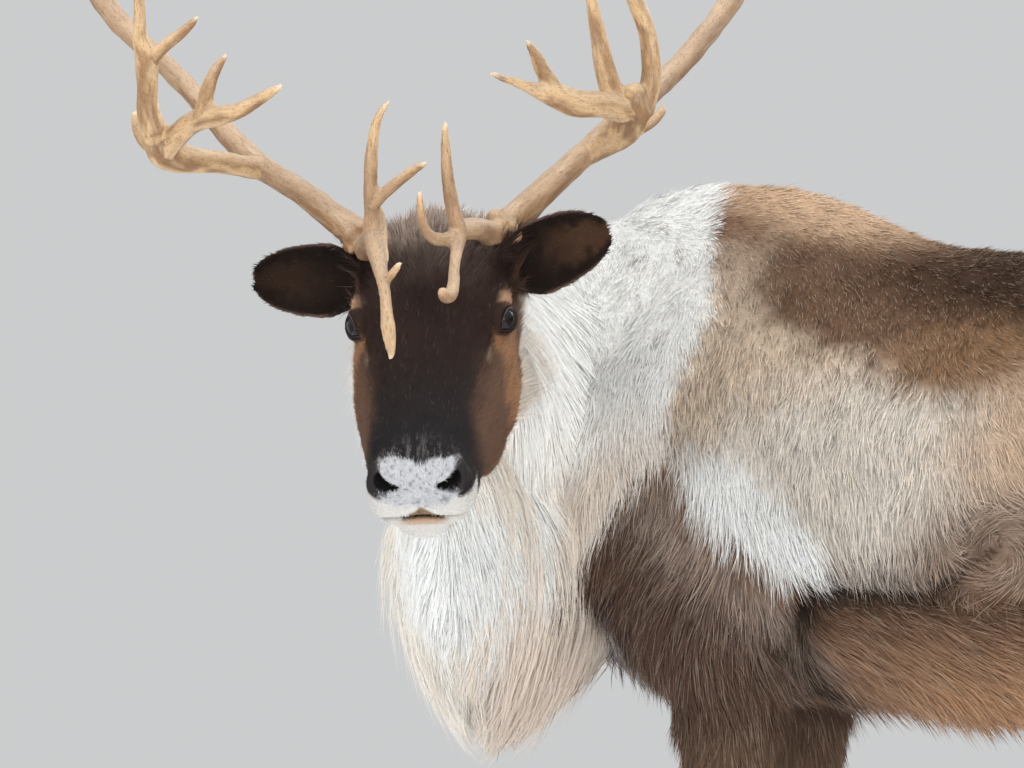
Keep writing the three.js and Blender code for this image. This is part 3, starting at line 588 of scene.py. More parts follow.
# Mouth and lips, the groove below the nose, the hollow behind it, and the nostrils
normals = normalsOf(headPoints, headTriangles)
x, y, z = headPoints.T
gap = mouthGap(headPoints)
front = ramp(168, 190, x)
push = -5.5 * hump(gap, 0, 1.9) * front
push += (1.8 * hump(gap, 6.5, 4) + 2.2 * hump(gap, -6, 4)) * front
push -= 1.6 * hump(y, 0, 1.8) * ramp(1, 5, gap) * ramp(26, 18, gap) * ramp(236, 244, x)
push -= 2.0 * hump(x, 196, 16) * ramp(20, 34, np.abs(y)) * ramp(-70, -30, z)
for side in (-1, 1):
    share = nostrilShare(headPoints, side)
    push += 2.4 * hump(share, 1.55, 0.4)
    headPoints -= (12 * ramp(1.25, 0.55, share))[:, None] * unit([0.85, side * 0.35, -0.25])
headPoints += normals * push[:, None]

# Lids: the skin closes over the ball and dips behind it inside the opening.
for side in (-1, 1):
    look, slit, lift = eyeAxes(side)
    rel = headPoints - mirrored(eye["place"], side)
    reach = np.linalg.norm(rel, axis=1)
    facing = (rel @ look) / np.maximum(reach, 1e-6)
    edge = lidEdge(headPoints, side)
    here = ramp(0.05, 0.35, facing) * (reach < 44)
    inside = ramp(0.5, -0.7, edge)
    crease = 1.5 * hump(edge, 8.5, 1.6) * (rel @ lift > 0) - 0.8 * hump(edge, 2.6, 1.6)
    lid = np.maximum(reach, eye["radius"] + 2.6) - crease
    goal = lid * (1 - inside) + (eye["radius"] - 5) * inside
    headPoints += rel / np.maximum(reach, 1e-6)[:, None] * ((goal - reach) * here)[:, None]
print("stage: head carved", len(headTriangles))

# One skin: the head's surface joined to the body's, with the seam smoothed under the mane.
bodyItem = objectFrom("body_form", bodyPoints / 1000, bodyTriangles)
headItem = objectFrom("head_form", fromHead(headPoints) / 1000, headTriangles)
union = {"operation": "UNION", "object": headItem, "solver": "MANIFOLD"}
skinPoints, skinTriangles = shapeAfter(bodyItem, "BOOLEAN", union)
dropped(bodyItem, headItem)
skinPoints *= 1000
local = toHead(skinPoints)
seam = ramp(-84, -104, local[:, 0]) * ramp(-230, -200, local[:, 0]) * ramp(150, 110, np.abs(local[:, 1]))
onPedicle = (local[:, 2] > 20) & (local[:, 0] > -118)
skinPoints = relaxed(skinPoints, skinTriangles, 8, seam * ~onPedicle)
skinNormals = normalsOf(skinPoints, skinTriangles)
print("stage: skin", len(skinTriangles))

# Regions and the lie of the coat
neckBorder = {"place": np.array([-185, -20, 940]), "across": unit([0.93, 0.34, 0.12])}
whorl = {"place": (338, 812), "radius": 26, "width": 34}  # in front of the thigh
elbowSweep = [(-10, 900), (70, 840), (150, 800)]  # hair lies straight back along this line


# Distance behind the border between neck and trunk
def pastNeck(points):
    return (points - neckBorder["place"]) @ neckBorder["across"]


# Which points are on an ear, with their way along it and across it
def earPlace(local, ear):
    along, back, across = earAxes(ear)
    rel = local - ear["root"]
    far = rel @ along
    off = np.linalg.norm(rel - far[:, None] * along, axis=1)
    mine = (far > 12) & (far < 130) & (off < 56) & (local[:, 1] * ear["side"] > 84)
    return mine, far, rel @ across


def regionsOf(points):
    local = toHead(points)
    ears = np.any([earPlace(local, ear)[0] for ear in earSet], axis=0)
    x, y, z = local.T
    head = (x > -112) & (np.abs(y) < 104) & (z > -165) & (z < 90) & ~ears
    rest = ~head & ~ears
    neck = rest & (pastNeck(points) < 0) & (points[:, 2] > 560)
    leg = rest & ~neck & (points[:, 2] < 632)
    tail = rest & (points[:, 0] > 956) & (np.abs(points[:, 1]) < 42) & (points[:, 2] > 860)
    trunk = rest & ~(neck | leg | tail)
    return {"head": head, "ear": ears, "neck": neck, "leg": leg, "tail": tail, "trunk": trunk}


def flowOf(points, normals):
    local = toHead(points)
    regions = regionsOf(points)
    x, y, z = points.T
    level = np.zeros(len(x))
    # trunk: back along the spine, down the flank and thigh, forward over the elbow, back along the belly
    steep = ramp(1190, 1090, z) * (1 - 0.45 * ramp(260, 380, x) * ramp(720, 640, x))
    elbow = hump(x, -20, 85) * hump(z, 800, 75)
    roll = ramp(790, 745, z) * ramp(70, 120, x) * ramp(760, 640, x)
    ahead = 1 - 0.78 * steep
    ahead += -0.75 * elbow + 0.45 * beside(sideView(points), elbowSweep, 34) + 0.9 * roll
    sink = 0.1 + 0.9 * steep - 0.72 * roll
    flow = np.stack([ahead, level, -sink], 1)
    dx, dz = x - whorl["place"][0], z - whorl["place"][1]
    turn = np.hypot(dx, dz)
    share = hump(turn, whorl["radius"], whorl["width"])[:, None]
    flow = flow * (1 - share) - np.stack([-dz, level, dx], 1) / np.maximum(turn, 1)[:, None] * share
    # neck: down, and turning into the shoulder's coat across the border
    neck = regions["neck"]
    side = ramp(-40, -330, y)
    towards = np.stack([-0.06 + 0.1 * (1 - side), 0.22 * side + 0.08, -np.ones(len(x))], 1)
    towards[:, 0] -= 0.25 * ramp(960, 820, z)
    border = ramp(-110, 70, pastNeck(points))
    border[~(neck | regions["trunk"]) | (z < 700)] = 1
    border[neck & (z < 700)] = 0
    flow = towards * (1 - border)[:, None] + flow * border[:, None]
    flow[regions["leg"]] = (0.05, 0, -1)
    flow[regions["tail"]] = (0.2, 0, -1)
    # head: back from the nose, parting on the brow; ears: towards their tips
    away = np.stack([-np.ones(len(x)), 0.35 * local[:, 1] / 80, -0.25 * ramp(0, -80, local[:, 2])], 1)
    swirl = hump(np.hypot(local[:, 0] + 20, local[:, 1]), 0, 26)
    away[:, 1] += 0.5 * swirl * np.sign(local[:, 1])
    flow[regions["head"]] = (away @ headTurn.T)[regions["head"]]
    for ear in earSet:
        flow[regions["ear"] & (local[:, 1] * ear["side"] > 0)] = headTurn @ earAxes(ear)[0]
    wild = np.where(regions["head"] | regions["ear"], 0.5, 1.0)[:, None]
    flow += wild * (0.2 * noiseVector(points, 55, 11) + 0.24 * noiseVector(points, 17, 17))
    flow -= normals * dots(flow, normals)[:, None]
    return unit(flow)


# Markings, shared by the skin and the coat. Colours are given as on screen.
def tone(r, g, b):
    levels = np.array([r, g, b], float) / 255
    return np.where(levels <= 0.04045, levels / 12.92, ((levels + 0.055) / 1.055) ** 2.4)


hair = {
    "white": (229, 230, 228), "cream": (220, 205, 186), "pale": (210, 202, 191), "fawn": (201, 182, 161),
    "tan": (204, 172, 142), "sand": (190, 161, 134), "beige": (184, 164, 144), "dun": (131, 109, 94),
    "grey": (134, 127, 122), "gold": (130, 100, 74), "brown": (120, 90, 69), "dark": (104, 78, 60),
    "cheek": (107, 80, 64), "arm": (88, 68, 56), "deep": (59, 41, 29), "black": (34, 27, 24),
}


# A colour by its name among the hair's, by its levels on screen, or as an array ready for use
def tintOf(tint):
    tint = hair[tint] if isinstance(tint, str) else tint
    return tone(*tint) if isinstance(tint, tuple) else tint


# Colours laid over each other, with the share of odd hairs in them
class Paint:
    def __init__(self, count, ground, odd=0.0):
        self.colour, self.fleck = np.tile(tintOf(ground), (count, 1)), np.full(count, odd)

    def lay(self, tint, share, odd=None):
        self.colour = mixed(self.colour, tintOf(tint), share)
        if odd is not None:
            self.fleck = self.fleck + (odd - self.fleck) * share


# Each patch of the trunk: place and reach along the back and upwards, tilt in degrees, colour, soft edge,
# strength, and the share of odd hairs in it
trunkPatches = [
    ((560, 880), (330, 130), 0, "beige", 0.6, 0.8, 0.3),
    ((90, 1000), (170, 140), -10, "fawn", 0.5, 1, 0.62),
    ((220, 905), (185, 84), -6, "pale", 0.7, 0.95, 0.45),
    ((130, 870), (150, 74), -14, "pale", 0.6, 0.9, 0.32),
    ((560, 1094), (420, 92), 0, "dark", 0.5, 0.95, 0.5),
    ((196, 1092), (182, 84), -3, "dark", 0.45, 0.96, 0.55),
    ((262, 1002), (74, 30), 0, "gold", 0.9, 0.95, 0.5),
    ((360, 1036), (110, 34), 4, "gold", 0.9, 0.9, 0.4),
    ((350, 1082), (190, 40), -4, "deep", 1.0, 0.95, 0.4),
    ((56, 1188), (140, 44), -15, "tan", 0.9, 0.95, 0.3),
    ((56, 846), (108, 38), -39, "white", 0.5, 1, 0.06),
    ((396, 918), (112, 80), 16, "sand", 1.2, 0.85, 0.35),
    ((192, 786), (80, 17), 4, "grey", 0.7, 0.8, 0.5),
    ((330, 812), (104, 62), 10, "dun", 0.9, 0.8, 0.6),
]
# Where the white of the neck ends in front of the shoulder: heights and places along the back
neckEdge = (
    [600, 715, 753, 790, 838, 880, 917, 960, 1003, 1045, 1102, 1175, 1200],
    [-208, -186, -166, -142, -114, -84, -46, -50, -34, -14, -21, -38, -45],
)
# Short dark partings in the white of the neck, as (place along the back, height)
neckPartings = [
    [(-97, 1140), (-88, 1146)], [(-66, 1122), (-60, 1112)], [(-106, 1078), (-101, 1066)],
    [(-60, 1036), (-66, 1020)], [(-74, 1000), (-80, 984)], [(-118, 1108), (-108, 1112)],
]


def striped(points):
    return noise(points * np.array([0.5, 1, 0.35]), 9, 21) * 0.6 + noise(points, 26, 23) * 0.6


def markings(points):
    regions = regionsOf(points)
    x, y, z = points.T
    flat = sideView(points)
    wave = striped(points)
    paint = Paint(len(points), "brown", 0.3)
    lay = paint.lay
    for at, reach, tilt, tint, soft, share, odd in trunkPatches:
        dx, dz = x - at[0], z - at[1]
        c, s = math.cos(math.radians(tilt)), math.sin(math.radians(tilt))
        away = np.hypot((dx * c + dz * s) / reach[0], (-dx * s + dz * c) / reach[1]) + 0.14 * wave
        lay(tint, ramp(1 + soft / 2, 1 - soft / 2, away) * share, odd)
    # belly roll with its pale tan edge, a band of painted shade along its top, and a painted shadow in the
    # crease behind the elbow
    low = ramp(778, 750, z + 8 * wave) * ramp(60, 100, x)
    lay((134, 103, 82), low, 0.4)
    # painted shade along the top of the belly roll, under the flank's overhang
    lay("deep", 0.55 * low * hump(z + 6 * wave, 752, 20))
    lay((178, 137, 103), 0.85 * low * hump(z + 12 * wave, 656, 42) * ramp(90, 260, x))
    lay((206, 192, 172), low * ramp(480, 620, x + 20 * wave) * 0.7)
    # painted shadow in the crease behind the elbow
    lay("black", beside(flat, folds["elbow"], 11) * ramp(40, 90, x) * ramp(330, 260, x) * 0.92, 0.15)
    # upper arm, with a painted shadow along its rear edge where the belly passes behind it, and the legs with
    # a pale ring over the hoof
    arm = ramp(-0.3, 0.7, (838 - z - x + 11 * wave) / 44) * ramp(118, 88, x) * ramp(-200, -150, x)
    lay("arm", arm, 0.34)
    lay((162, 144, 132), arm * hump(z + x, 814, 42) * 0.75, 0.7)
    lay((82, 62, 54), arm * hump(z, 725, 60) * hump(x, -50, 60) * 0.7)
    # painted shadow along the arm's rear edge and in the corner behind the elbow
    corner = hump(np.hypot((x - 100) / 18, (z - 740) / 15), 0, 1)
    lay((36, 28, 24), np.maximum(beside(flat, folds["arm"], 9), corner) * 0.88, 0.2)
    rear = ramp(500, 620, x)
    lower = ramp(655 + 85 * rear, 600 - 60 * rear, z + (14 + 16 * rear) * wave)
    lay(mixed(tone(96, 76, 62), tone(74, 58, 48), ramp(420, 250, z)), lower, 0.24)
    lay((196, 184, 166), ramp(140, 76, z + 12 * wave) * 0.9)
    # chest below the neck, and its grey patch
    chest = ramp(-74, -112, x + 8 * wave) * ramp(800, 756, z + 6 * wave)
    lay((62, 49, 45), chest * ramp(560, 610, z) * ramp(-196, -166, x) * 0.95, 0.3)
    spot = np.hypot((x + 128) / 21, (z - 706) / 36)
    lay((150, 150, 150), ramp(1.3, 0.5, spot + 0.25 * wave) * ramp(-40, -90, x) * 0.85)
    # white neck, with the edge that runs down in front of the shoulder, and painted light across its middle
    edge = np.interp(z, *neckEdge)
    over = np.maximum(ramp(640, 700, z + 0.4 * (x + 150)), ramp(-165, -190, x))
    neck = ramp(11, -11, x - edge + 10 * wave) * over
    lay("white", neck, 0.05)
    # a brighter band painted across the middle of the neck, painted light where the neck tilts into shade
    lay((243, 243, 240), neck * hump(z, 960, 120) * 0.8)
    lay((206, 184, 164), hump(x - edge, -34, 44) * ramp(1000, 860, z) * neck * 0.75, 0.2)
    lay("cream", neck * ramp(1010, 800, z) * np.clip(0.3 + 0.35 * noise(points, 45, 31), 0, 1))
    lay((214, 195, 174), neck * ramp(-285, -372, y + 14 * wave) * ramp(840, 930, z) * 0.85)
    lay((226, 229, 228), neck * ramp(-190, -240, y + 14 * wave) * ramp(900, 840, z) * 0.9)
    parting = np.min([lineDistance(flat, ends) for ends in neckPartings], axis=0)
    lay((126, 118, 110), ramp(3.2, 1.2, parting) * neck * 0.7)
    # white rump, and the tail with its dark top
    lay("white", ramp(880, 940, x + 14 * wave) * ramp(690, 800, z + 12 * wave) * ramp(1092, 1050, z), 0.06)
    tailTop = regions["tail"] * ramp(974, 1000, x + 5 * wave) * ramp(46, 26, np.abs(y) + 4 * wave)
    lay("dark", tailTop * 0.9, 0.3)
    face = regions["head"] | regions["ear"]
    paint.colour[face], paint.fleck[face] = faceMarkings(toHead(points)[face])
    return paint.colour, paint.fleck


# Spots on both sides of the face, one above the eye and three below it: middle and reach in the head's frame,
# colour and strength
faceSpots = [
    ((-10, 80, 17), (15, 13, 13), (186, 148, 118), 0.95),
    ((28, 68, -9), (15, 7, 13), (170, 124, 90), 0.9),
    ((34, 79, -16), (22, 8, 9), (168, 126, 94), 0.8),
    ((56, 62, -2), (11, 2.6, 4), (150, 126, 108), 0.5),
]
tearLine = [(20, 60, 2), (36, 64, 4), (52, 59, 5)]


# Which points lie in front of an eye and round it
def roundEye(local, side):
    rel = local - mirrored(eye["place"], side)
    return (rel @ eyeAxes(side)[0] > 4) & (np.linalg.norm(rel, axis=1) < 40)


def faceMarkings(local):
    x, y, z = local.T
    wide = np.abs(y)
    folded = np.stack([x, wide, z], 1)  # both sides on one
    wave = noise(local * np.array([0.3, 1, 1]), 7, 41)
    paint = Paint(len(x), (46, 33, 29), 0.12)
    lay = paint.lay
    lay((38, 32, 31), ramp(40, 150, x))
    # warm cheeks, with a painted highlight along their outer edges, and the pale throat
    cheek = ramp(40, 62, wide + 6 * wave) * ramp(14, -20, z) * ramp(200, 150, x)
    lay("cheek", cheek * 0.9)
    # painted highlight along the outer edges of the cheeks
    lay((166, 122, 86), cheek * ramp(73, 82, wide + 4 * wave) * ramp(-34, 6, x) * 0.85)
    lay((222, 208, 192), ramp(-92, -116, z + 8 * wave) * ramp(210, 150, x) * 0.9)
    # pale hair behind the jaw, painted lighter still as painted light where it lies in shade
    lay((235, 225, 214), ramp(-40, -78, x + 10 * wave) * ramp(-14, -66, z + 10 * wave) * 0.95)
    for at, reach, tint, share in faceSpots:
        away = np.linalg.norm((folded - np.array(at)) / np.array(reach), axis=1)
        lay(tint, ramp(1.5, 0.3, away + 0.3 * wave) * share)
    lay((34, 26, 23), beside(folded, tearLine, 3.6) * 0.9)
    # frosted crown
    crown = ramp(4, -56, x + 9 * wave) * ramp(-10, 24, z) * ramp(66, 44, wide)
    lay(mixed(tone(88, 74, 68), tone(158, 140, 128), ramp(-50, -84, x + 7 * wave)), crown * 0.85)
    paint.fleck = np.maximum(paint.fleck, 0.5 * crown)
    # dark muzzle with fine pale lines, and the whitish patch between the nostrils
    lay((34, 31, 33), ramp(130, 190, x + 8 * wave) * ramp(-34, -14, z + 0.25 * (44 - wide)))
    drawn = np.stack([x * 0.05, y * 210 / np.maximum(x, 150), z * 0], 1)
    lines = ramp(0.15, 0.6, noise(drawn, 1.2, 43))
    lay((140, 136, 134), lines * hump(x, 210, 14) * ramp(42, 30, wide) * 0.42)
    nose = ramp(-3, 4, x - 226 + 0.011 * y * y + 5 * wave) * ramp(44, 36, wide + 3 * wave)
    uneven = 1 + 0.14 * noise(local, 2.2, 45) + 0.08 * noise(local, 6, 46)
    thin = 0.96 - 0.5 * ramp(0.3, 0.75, noise(local, 3.2, 47))
    lay(tone(196, 198, 202) * uneven[:, None], nose * thin)
    lay((46, 42, 44), ramp(36, 43, wide) * ramp(205, 222, x) * ramp(-36, -22, z) * 0.9)
    # lips and chin, the tan triangle above the mouth, the warm patch below it, and the mouth's line as
    # painted shade
    gap = mouthGap(local)
    lips = ramp(196, 214, x)
    lay((216, 213, 209), ramp(19, 11, gap - 11 * ramp(22, 40, wide) + 3 * wave) * lips)
    # painted shade along the mouth's line, pale towards the corners
    lay((206, 198, 190), hump(gap, 0, 1.6) * lips * 0.6)
    middle = np.abs(y - 2.5)
    triangle = ramp(2, -1, gap - 11 * (1 - middle / 20)) * ramp(-0.5, 1, gap)
    lay((132, 112, 86), triangle * lips)
    warm = ramp(-15, -2, gap) * ramp(0.5, -1.5, gap) * ramp(29, 12, middle + 2 * wave)
    lay((182, 138, 98), warm * lips * 0.85)
    # painted shade in the mouth's line, dark in the middle
    lay((20, 14, 13), hump(gap + 0.004 * middle**2, 0.3, 2.2) * ramp(24, 18, middle) * lips)
    # nostrils, with painted shade in their hollows, and the rims of the eyes, with a painted highlight on the
    # upper lids
    for side in (-1, 1):
        share = nostrilShare(local, side)
        lay((50, 45, 46), ramp(1.7, 1.2, share) * ramp(26, 34, wide) * 0.8)
        # painted shade deep in the nostril's hollow
        lay((9, 7, 8), ramp(1.14, 0.95, share))
        edge = lidEdge(local, side)
        rel = local - mirrored(eye["place"], side)
        slit, lift = eyeAxes(side)[1:]
        close = roundEye(local, side)
        upper = ramp(-4, 3, rel @ lift) * ramp(13, 8, rel @ slit)
        lay((58, 42, 35), ramp(7.5, 5.0, edge + wave) * close * 0.7)
        lay((22, 16, 15), ramp(3.4, 1.8, edge + 0.5 * wave) * close)
        # pale lid rim, mostly on the upper lid: a painted highlight where it catches the light
        lay((122, 109, 104), ramp(1.3, 0.6, edge) * close * (0.12 + 0.88 * upper))
    # ears: dark, with pale rims; inside, painted shade at the base of each cup and painted light further up,
    # more of it in the left one
    for ear in earSet:
        mine, far, off = earPlace(local, ear)
        far = far / earShape["length"]
        rim = np.abs(off) / np.maximum(39 * earTaper(far, 0.02), 1)
        # how much painted light falls into each ear's cup
        cupLight = 0.75 if ear["side"] > 0 else 0.25
        inside = ramp(0.75, 0.25, rim + 0.3 * wave) * ramp(0.25, 0.7, far + 0.1 * wave) * cupLight
        inner = mixed(tone(32, 23, 19), tone(84, 60, 44), inside)
        inner = mixed(inner, tone(136, 110, 96), ramp(0.86, 0.99, rim) * 0.7)
        paint.colour = np.where(mine[:, None], inner, paint.colour)
    return paint.colour, paint.fleck


skinColour = markings(skinPoints)[0]
print("stage: markings")

# Shader building


# A number from a shader node; sums on it add Math nodes.
class Level:
    def __init__(self, shade, socket):
        self.shade, self.socket = shade, socket

    def maths(self, operation, first, second):
        node = self.shade.make("ShaderNodeMath", {"operation": operation}, {0: first, 1: second})
        return Level(self.shade, node.outputs[0])

    def __add__(self, other):
        return self.maths("ADD", self, other)

    def __sub__(self, other):
        return self.maths("SUBTRACT", self, other)

    def __rsub__(self, other):
        return self.maths("SUBTRACT", other, self)

    def __mul__(self, other):
        return self.maths("MULTIPLY", self, other)

    __radd__, __rmul__ = __add__, __mul__

    # 0 below low and 1 above high
    def between(self, low, high):
        sockets = {"Value": self, "From Min": low, "From Max": high}
        node = self.shade.make("ShaderNodeMapRange", {"interpolation_type": "SMOOTHSTEP"}, sockets)
        return Level(self.shade, node.outputs["Result"])

    # from 0 and 1 to two other levels
    def spanning(self, low, high):
        return self * (high - low) + low


class Shade:
    def __init__(self, name, **constants):
        self.material = bpy.data.materials.new(name)
        self.material.use_nodes = True
        self.nodes = self.material.node_tree.nodes
        self.links = self.material.node_tree.links
        self.shader = self.nodes["Principled BSDF"]
        for key, value in constants.items():
            self.shader.inputs[key.replace("_", " ").title().replace("Ior", "IOR")].default_value = value

    def feed(self, socket, value):
        if isinstance(value, Level):
            self.links.new(value.socket, socket)
        elif isinstance(value, bpy.types.NodeSocket):
            self.links.new(value, socket)
        else:
            socket.default_value = value

    def make(self, kind, settings=None, sockets=None):
        node = self.nodes.new(kind)
        for key, value in (settings or {}).items():
            setattr(node, key, value)
        for key, value in (sockets or {}).items():
            self.feed(node.inputs[key], value)
        return node

    def attribute(self, name, output="Color"):
        return self.make("ShaderNodeAttribute", {"attribute_name": name}).outputs[output]

    def place(self):
        return self.make("ShaderNodeTexCoord").outputs["Object"]

    def speckle(self, vector, scale, detail=3, roughness=0.6):
        sockets = {"Vector": vector, "Scale": scale, "Detail": detail, "Roughness": roughness}
        return Level(self, self.make("ShaderNodeTexNoise", None, sockets).outputs[0])

    def mix(self, first, second, share, blend="MIX"):
        settings = {"data_type": "RGBA", "blend_type": blend}
        return self.make("ShaderNodeMix", settings, {0: share, 6: first, 7: second}).outputs[2]

    # the coat's own colour, darker and lighter with a level
    def shaded(self, level, low, high):
        grey = level.spanning(low, high)
        tint = self.make("ShaderNodeCombineColor", None, {place: grey for place in range(3)})
        return self.mix(self.attribute("coat"), tint.outputs[0], 1.0, "MULTIPLY")

    def bump(self, height, strength, distance):
        sockets = {"Height": height, "Strength": strength, "Distance": distance}
        self.links.new(self.make("ShaderNodeBump", None, sockets).outputs[0], self.shader.inputs["Normal"])

    def finish(self, colour, roughness=None):
        self.feed(self.shader.inputs["Base Color"], colour)
        if roughness is not None:
            self.feed(self.shader.inputs["Roughness"], roughness)
        return self.material


# fill makes the hair glow faintly in its own colour: painted light in the pale hair that keeps it soft in its
# own shadows
def coatMaterial(name, roughness, fill):
    shade = Shade(name, roughness=roughness, specular_ior_level=0.1, emission_strength=fill)
    grain = shade.speckle(shade.place(), 420, 2)
    colour = shade.shaded(grain, 0.78, 1.22)
    # the glow takes the hair's own colour, as painted light
    shade.feed(shade.shader.inputs["Emission Color"], colour)
    return shade.finish(colour, grain.spanning(roughness - 0.12, roughness + 0.12))


def skinMaterial():
    shade = Shade("skin", roughness=0.8, specular_ior_level=0.1)
    grain = shade.attribute("grain", "Vector")
    streak = shade.speckle(grain, 0.55, 4, 0.65)
    broad = shade.speckle(grain, 0.12, 2)
    shade.bump(streak * 0.8 + broad * 0.4, 0.55, 0.0025)
    return shade.finish(shade.shaded(streak, 0.55, 1.3), streak.spanning(0.65, 0.9))


# the coat glows a little and the mane and neck hair more, as painted light
coatLook = coatMaterial("coat_hair", 0.72, 0.03)
maneLook = coatMaterial("mane_hair", 0.68, 0.17)

# The skin piece, with streaks drawn out along the lie of the coat
skinSet = {"shade": 0.8, "flank": (0.35, 1, 0.4), "upright": (1, 1, 0.25), "face": (0.22, 1, 1), "apart": 900}
regions = regionsOf(skinPoints)
local = toHead(skinPoints)
hanging, faced = regions["leg"] | regions["neck"], regions["head"] | regions["ear"]
grain = skinPoints * np.array(skinSet["flank"])
grain[hanging] = (skinPoints * np.array(skinSet["upright"]))[hanging]
grain[faced] = (local * np.array(skinSet["face"]))[faced] + skinSet["apart"]
# the skin is painted darker than the hair above it, as painted shade under the coat
skinPaint = skinColour * skinSet["shade"]
skin = objectFrom("skin", toFrame(skinPoints), skinTriangles, skinMaterial(), skinPaint, grain)
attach(skin, "root")
fleshNodes = ["torso", "tail", "neck", "head", "ear_left", "ear_right"]
fleshNodes += [f"{leg['name']}_{part}" for leg in legSet for part in ("upper", "lower")]
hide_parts(*fleshNodes)

# Hair: closed three-sided tufts that taper to a point


# Random places on the skin and its normals there
def rootsOn(density, count, rng):
    corners = skinPoints[skinTriangles]
    sides = corners[:, 1] - corners[:, 0], corners[:, 2] - corners[:, 0]
    weight = np.linalg.norm(np.cross(*sides), axis=1) * density[skinTriangles].mean(axis=1)
    chosen = np.searchsorted(np.cumsum(weight), rng.random(count) * weight.sum())
    chosen = np.minimum(chosen, len(weight) - 1)
    a, b = rng.random(count), rng.random(count)
    a, b = np.where(a + b > 1, 1 - a, a), np.where(a + b > 1, 1 - b, b)
    shares = np.stack([1 - a - b, a, b], 1)[..., None]
    normals = unit((skinNormals[skinTriangles[chosen]] * shares).sum(axis=1))
    return (corners[chosen] * shares).sum(axis=1), normals


# Paths of the hairs as (stop, hair, xyz) from the root to the tip
def hairPaths(roots, normals, flow, length, style, rng):
    count = len(roots)
    side = unit(np.cross(normals, flow))
    stops = style["stops"]
    start = np.radians(rng.normal(style["rise"][0], style["loose"], count))
    end = np.radians(rng.normal(style["rise"][1], style["loose"], count))
    bend = rng.normal(0, style["bend"], count)
    phase = rng.random(count) * 2 * np.pi
    point = roots - normals * style["sink"]
    path = [point]
    for a, b in zip(stops, stops[1:]):
        t = (a + b) / 2
        tilt = np.maximum(start * (1 - t) + end * t, math.radians(2))
        sway = bend * t + style["curl"] * np.sin(phase + 7 * t)
        ahead = flow * np.cos(tilt)[:, None] + normals * np.sin(tilt)[:, None] + side * sway[:, None]
        ahead[:, 2] -= style["droop"] * t
        point = point + unit(ahead) * (length * (b - a))[:, None]
        path.append(point)
    # neighbours lean together into small clumps towards their tips
    lean = noiseVector(roots, style["clumpSize"], 71) * np.minimum(style["clump"] * length, 9)[:, None]
    return np.array([spot + lean * stop**1.5 for spot, stop in zip(path, stops)])


tuft = {"flat": 0.6, "narrow": 0.55, "patchWide": 0.0012, "patchLong": 0.0026}


# Meshes the paths. base and tip are colours for each hair, and patch is its place on the unwrapped skin.
def hairObject(name, path, normals, width, base, tip, patch, look, slotName, profile=None, softness=0.6):
    stops, count = len(path), len(path[0])
    profile = profile or np.linspace(1, tuft["narrow"], stops - 1)
    points = np.empty((count, (stops - 1) * 3 + 1, 3))
    colours = np.empty_like(points)
    places = np.empty((count, points.shape[1], 2))
    for k in range(stops - 1):
        tangent = unit(path[k + 1] - path[max(k - 1, 0)])
        side = unit(np.cross(normals, tangent))
        up = np.cross(tangent, side)
        for j in range(3):
            angle = 2 * math.pi * j / 3 + math.pi / 2
            offset = side * math.cos(angle) + up * (math.sin(angle) * tuft["flat"])
            points[:, k * 3 + j] = path[k] + offset * (width * profile[k] / 2)[:, None]
            down = tuft["patchLong"] * (k / (stops - 1) - 0.5)
            places[:, k * 3 + j] = patch + [tuft["patchWide"] * math.cos(angle), down]
            colours[:, k * 3 + j] = mixed(base, tip, k / (stops - 1))
    points[:, -1] = path[-1]
    colours[:, -1] = tip
    places[:, -1] = patch + [0, tuft["patchLong"] / 2]
    faces = [(0, 2, 1)]
    for k in range(stops - 2):
        for j in range(3):
            a, b = k * 3 + j, k * 3 + (j + 1) % 3
            faces += [(a, b, b + 3), (a, b + 3, a + 3)]
    last = (stops - 2) * 3
    faces += [(last + j, last + (j + 1) % 3, last + 3) for j in range(3)]
    each = points.shape[1]
    triangles = (np.arange(count)[:, None, None] * each + np.array(faces)[None]).reshape(-1, 3)
    colours = np.clip(colours.reshape(-1, 3), 0.002, 0.95)
    item = objectFrom(name, toFrame(points.reshape(-1, 3)), triangles, look, colours)
    # shaded partly as the skin below is, which keeps the coat soft
    shape = normalsOf(points.reshape(-1, 3), triangles)
    soft = unit(shape * (1 - softness) + np.repeat(normals, each, axis=0) * softness)
    item.data.normals_split_custom_set_from_vertices(soft)
    layer = item.data.uv_layers.new(name="OFBake")
    layer.data.foreach_set("uv", places.reshape(-1, 2)[triangles.ravel()].astype(np.float32).ravel())
    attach(item, "root")
    print("stage:", name, count, "hairs", len(triangles), "triangles")


def spreadOut(values, low, high):
    return 0.01 + 0.98 * np.clip((values - low) / (high - low), 0, 1)


# Unwraps of the skin: trunk and neck as opened tubes, each leg in its own strip, and the head as a tube round
# its axis
def trunkPatch(points):
    around = np.arctan2(points[:, 2] - 870, np.abs(points[:, 1]))
    return np.stack([spreadOut(points[:, 0], -300, 1040), spreadOut(around, -np.pi / 2, np.pi / 2)], 1)


def neckPatch(points):
    around = np.arctan2(points[:, 2] - 930, points[:, 0] + 240)
    return np.stack([spreadOut(points[:, 1], -460, 130), spreadOut(around, -np.pi, np.pi)], 1)


def legPatch(points):
    hind = points[:, 0] > 400
    column = hind * 2 + (points[:, 1] > 0)
    around = np.arctan2(np.abs(points[:, 1]) - 126, points[:, 0] - np.where(hind, 800, 0))
    share = (column + spreadOut(around, -np.pi, np.pi)) / 4
    return np.stack([0.005 + 0.99 * share, spreadOut(points[:, 2], 40, 900)], 1)


def headPatch(points):
    local = toHead(points)
    around = np.arctan2(local[:, 1], local[:, 2] + 45)
    return np.stack([spreadOut(local[:, 0], -160, 262), spreadOut(around, -np.pi, np.pi)], 1)


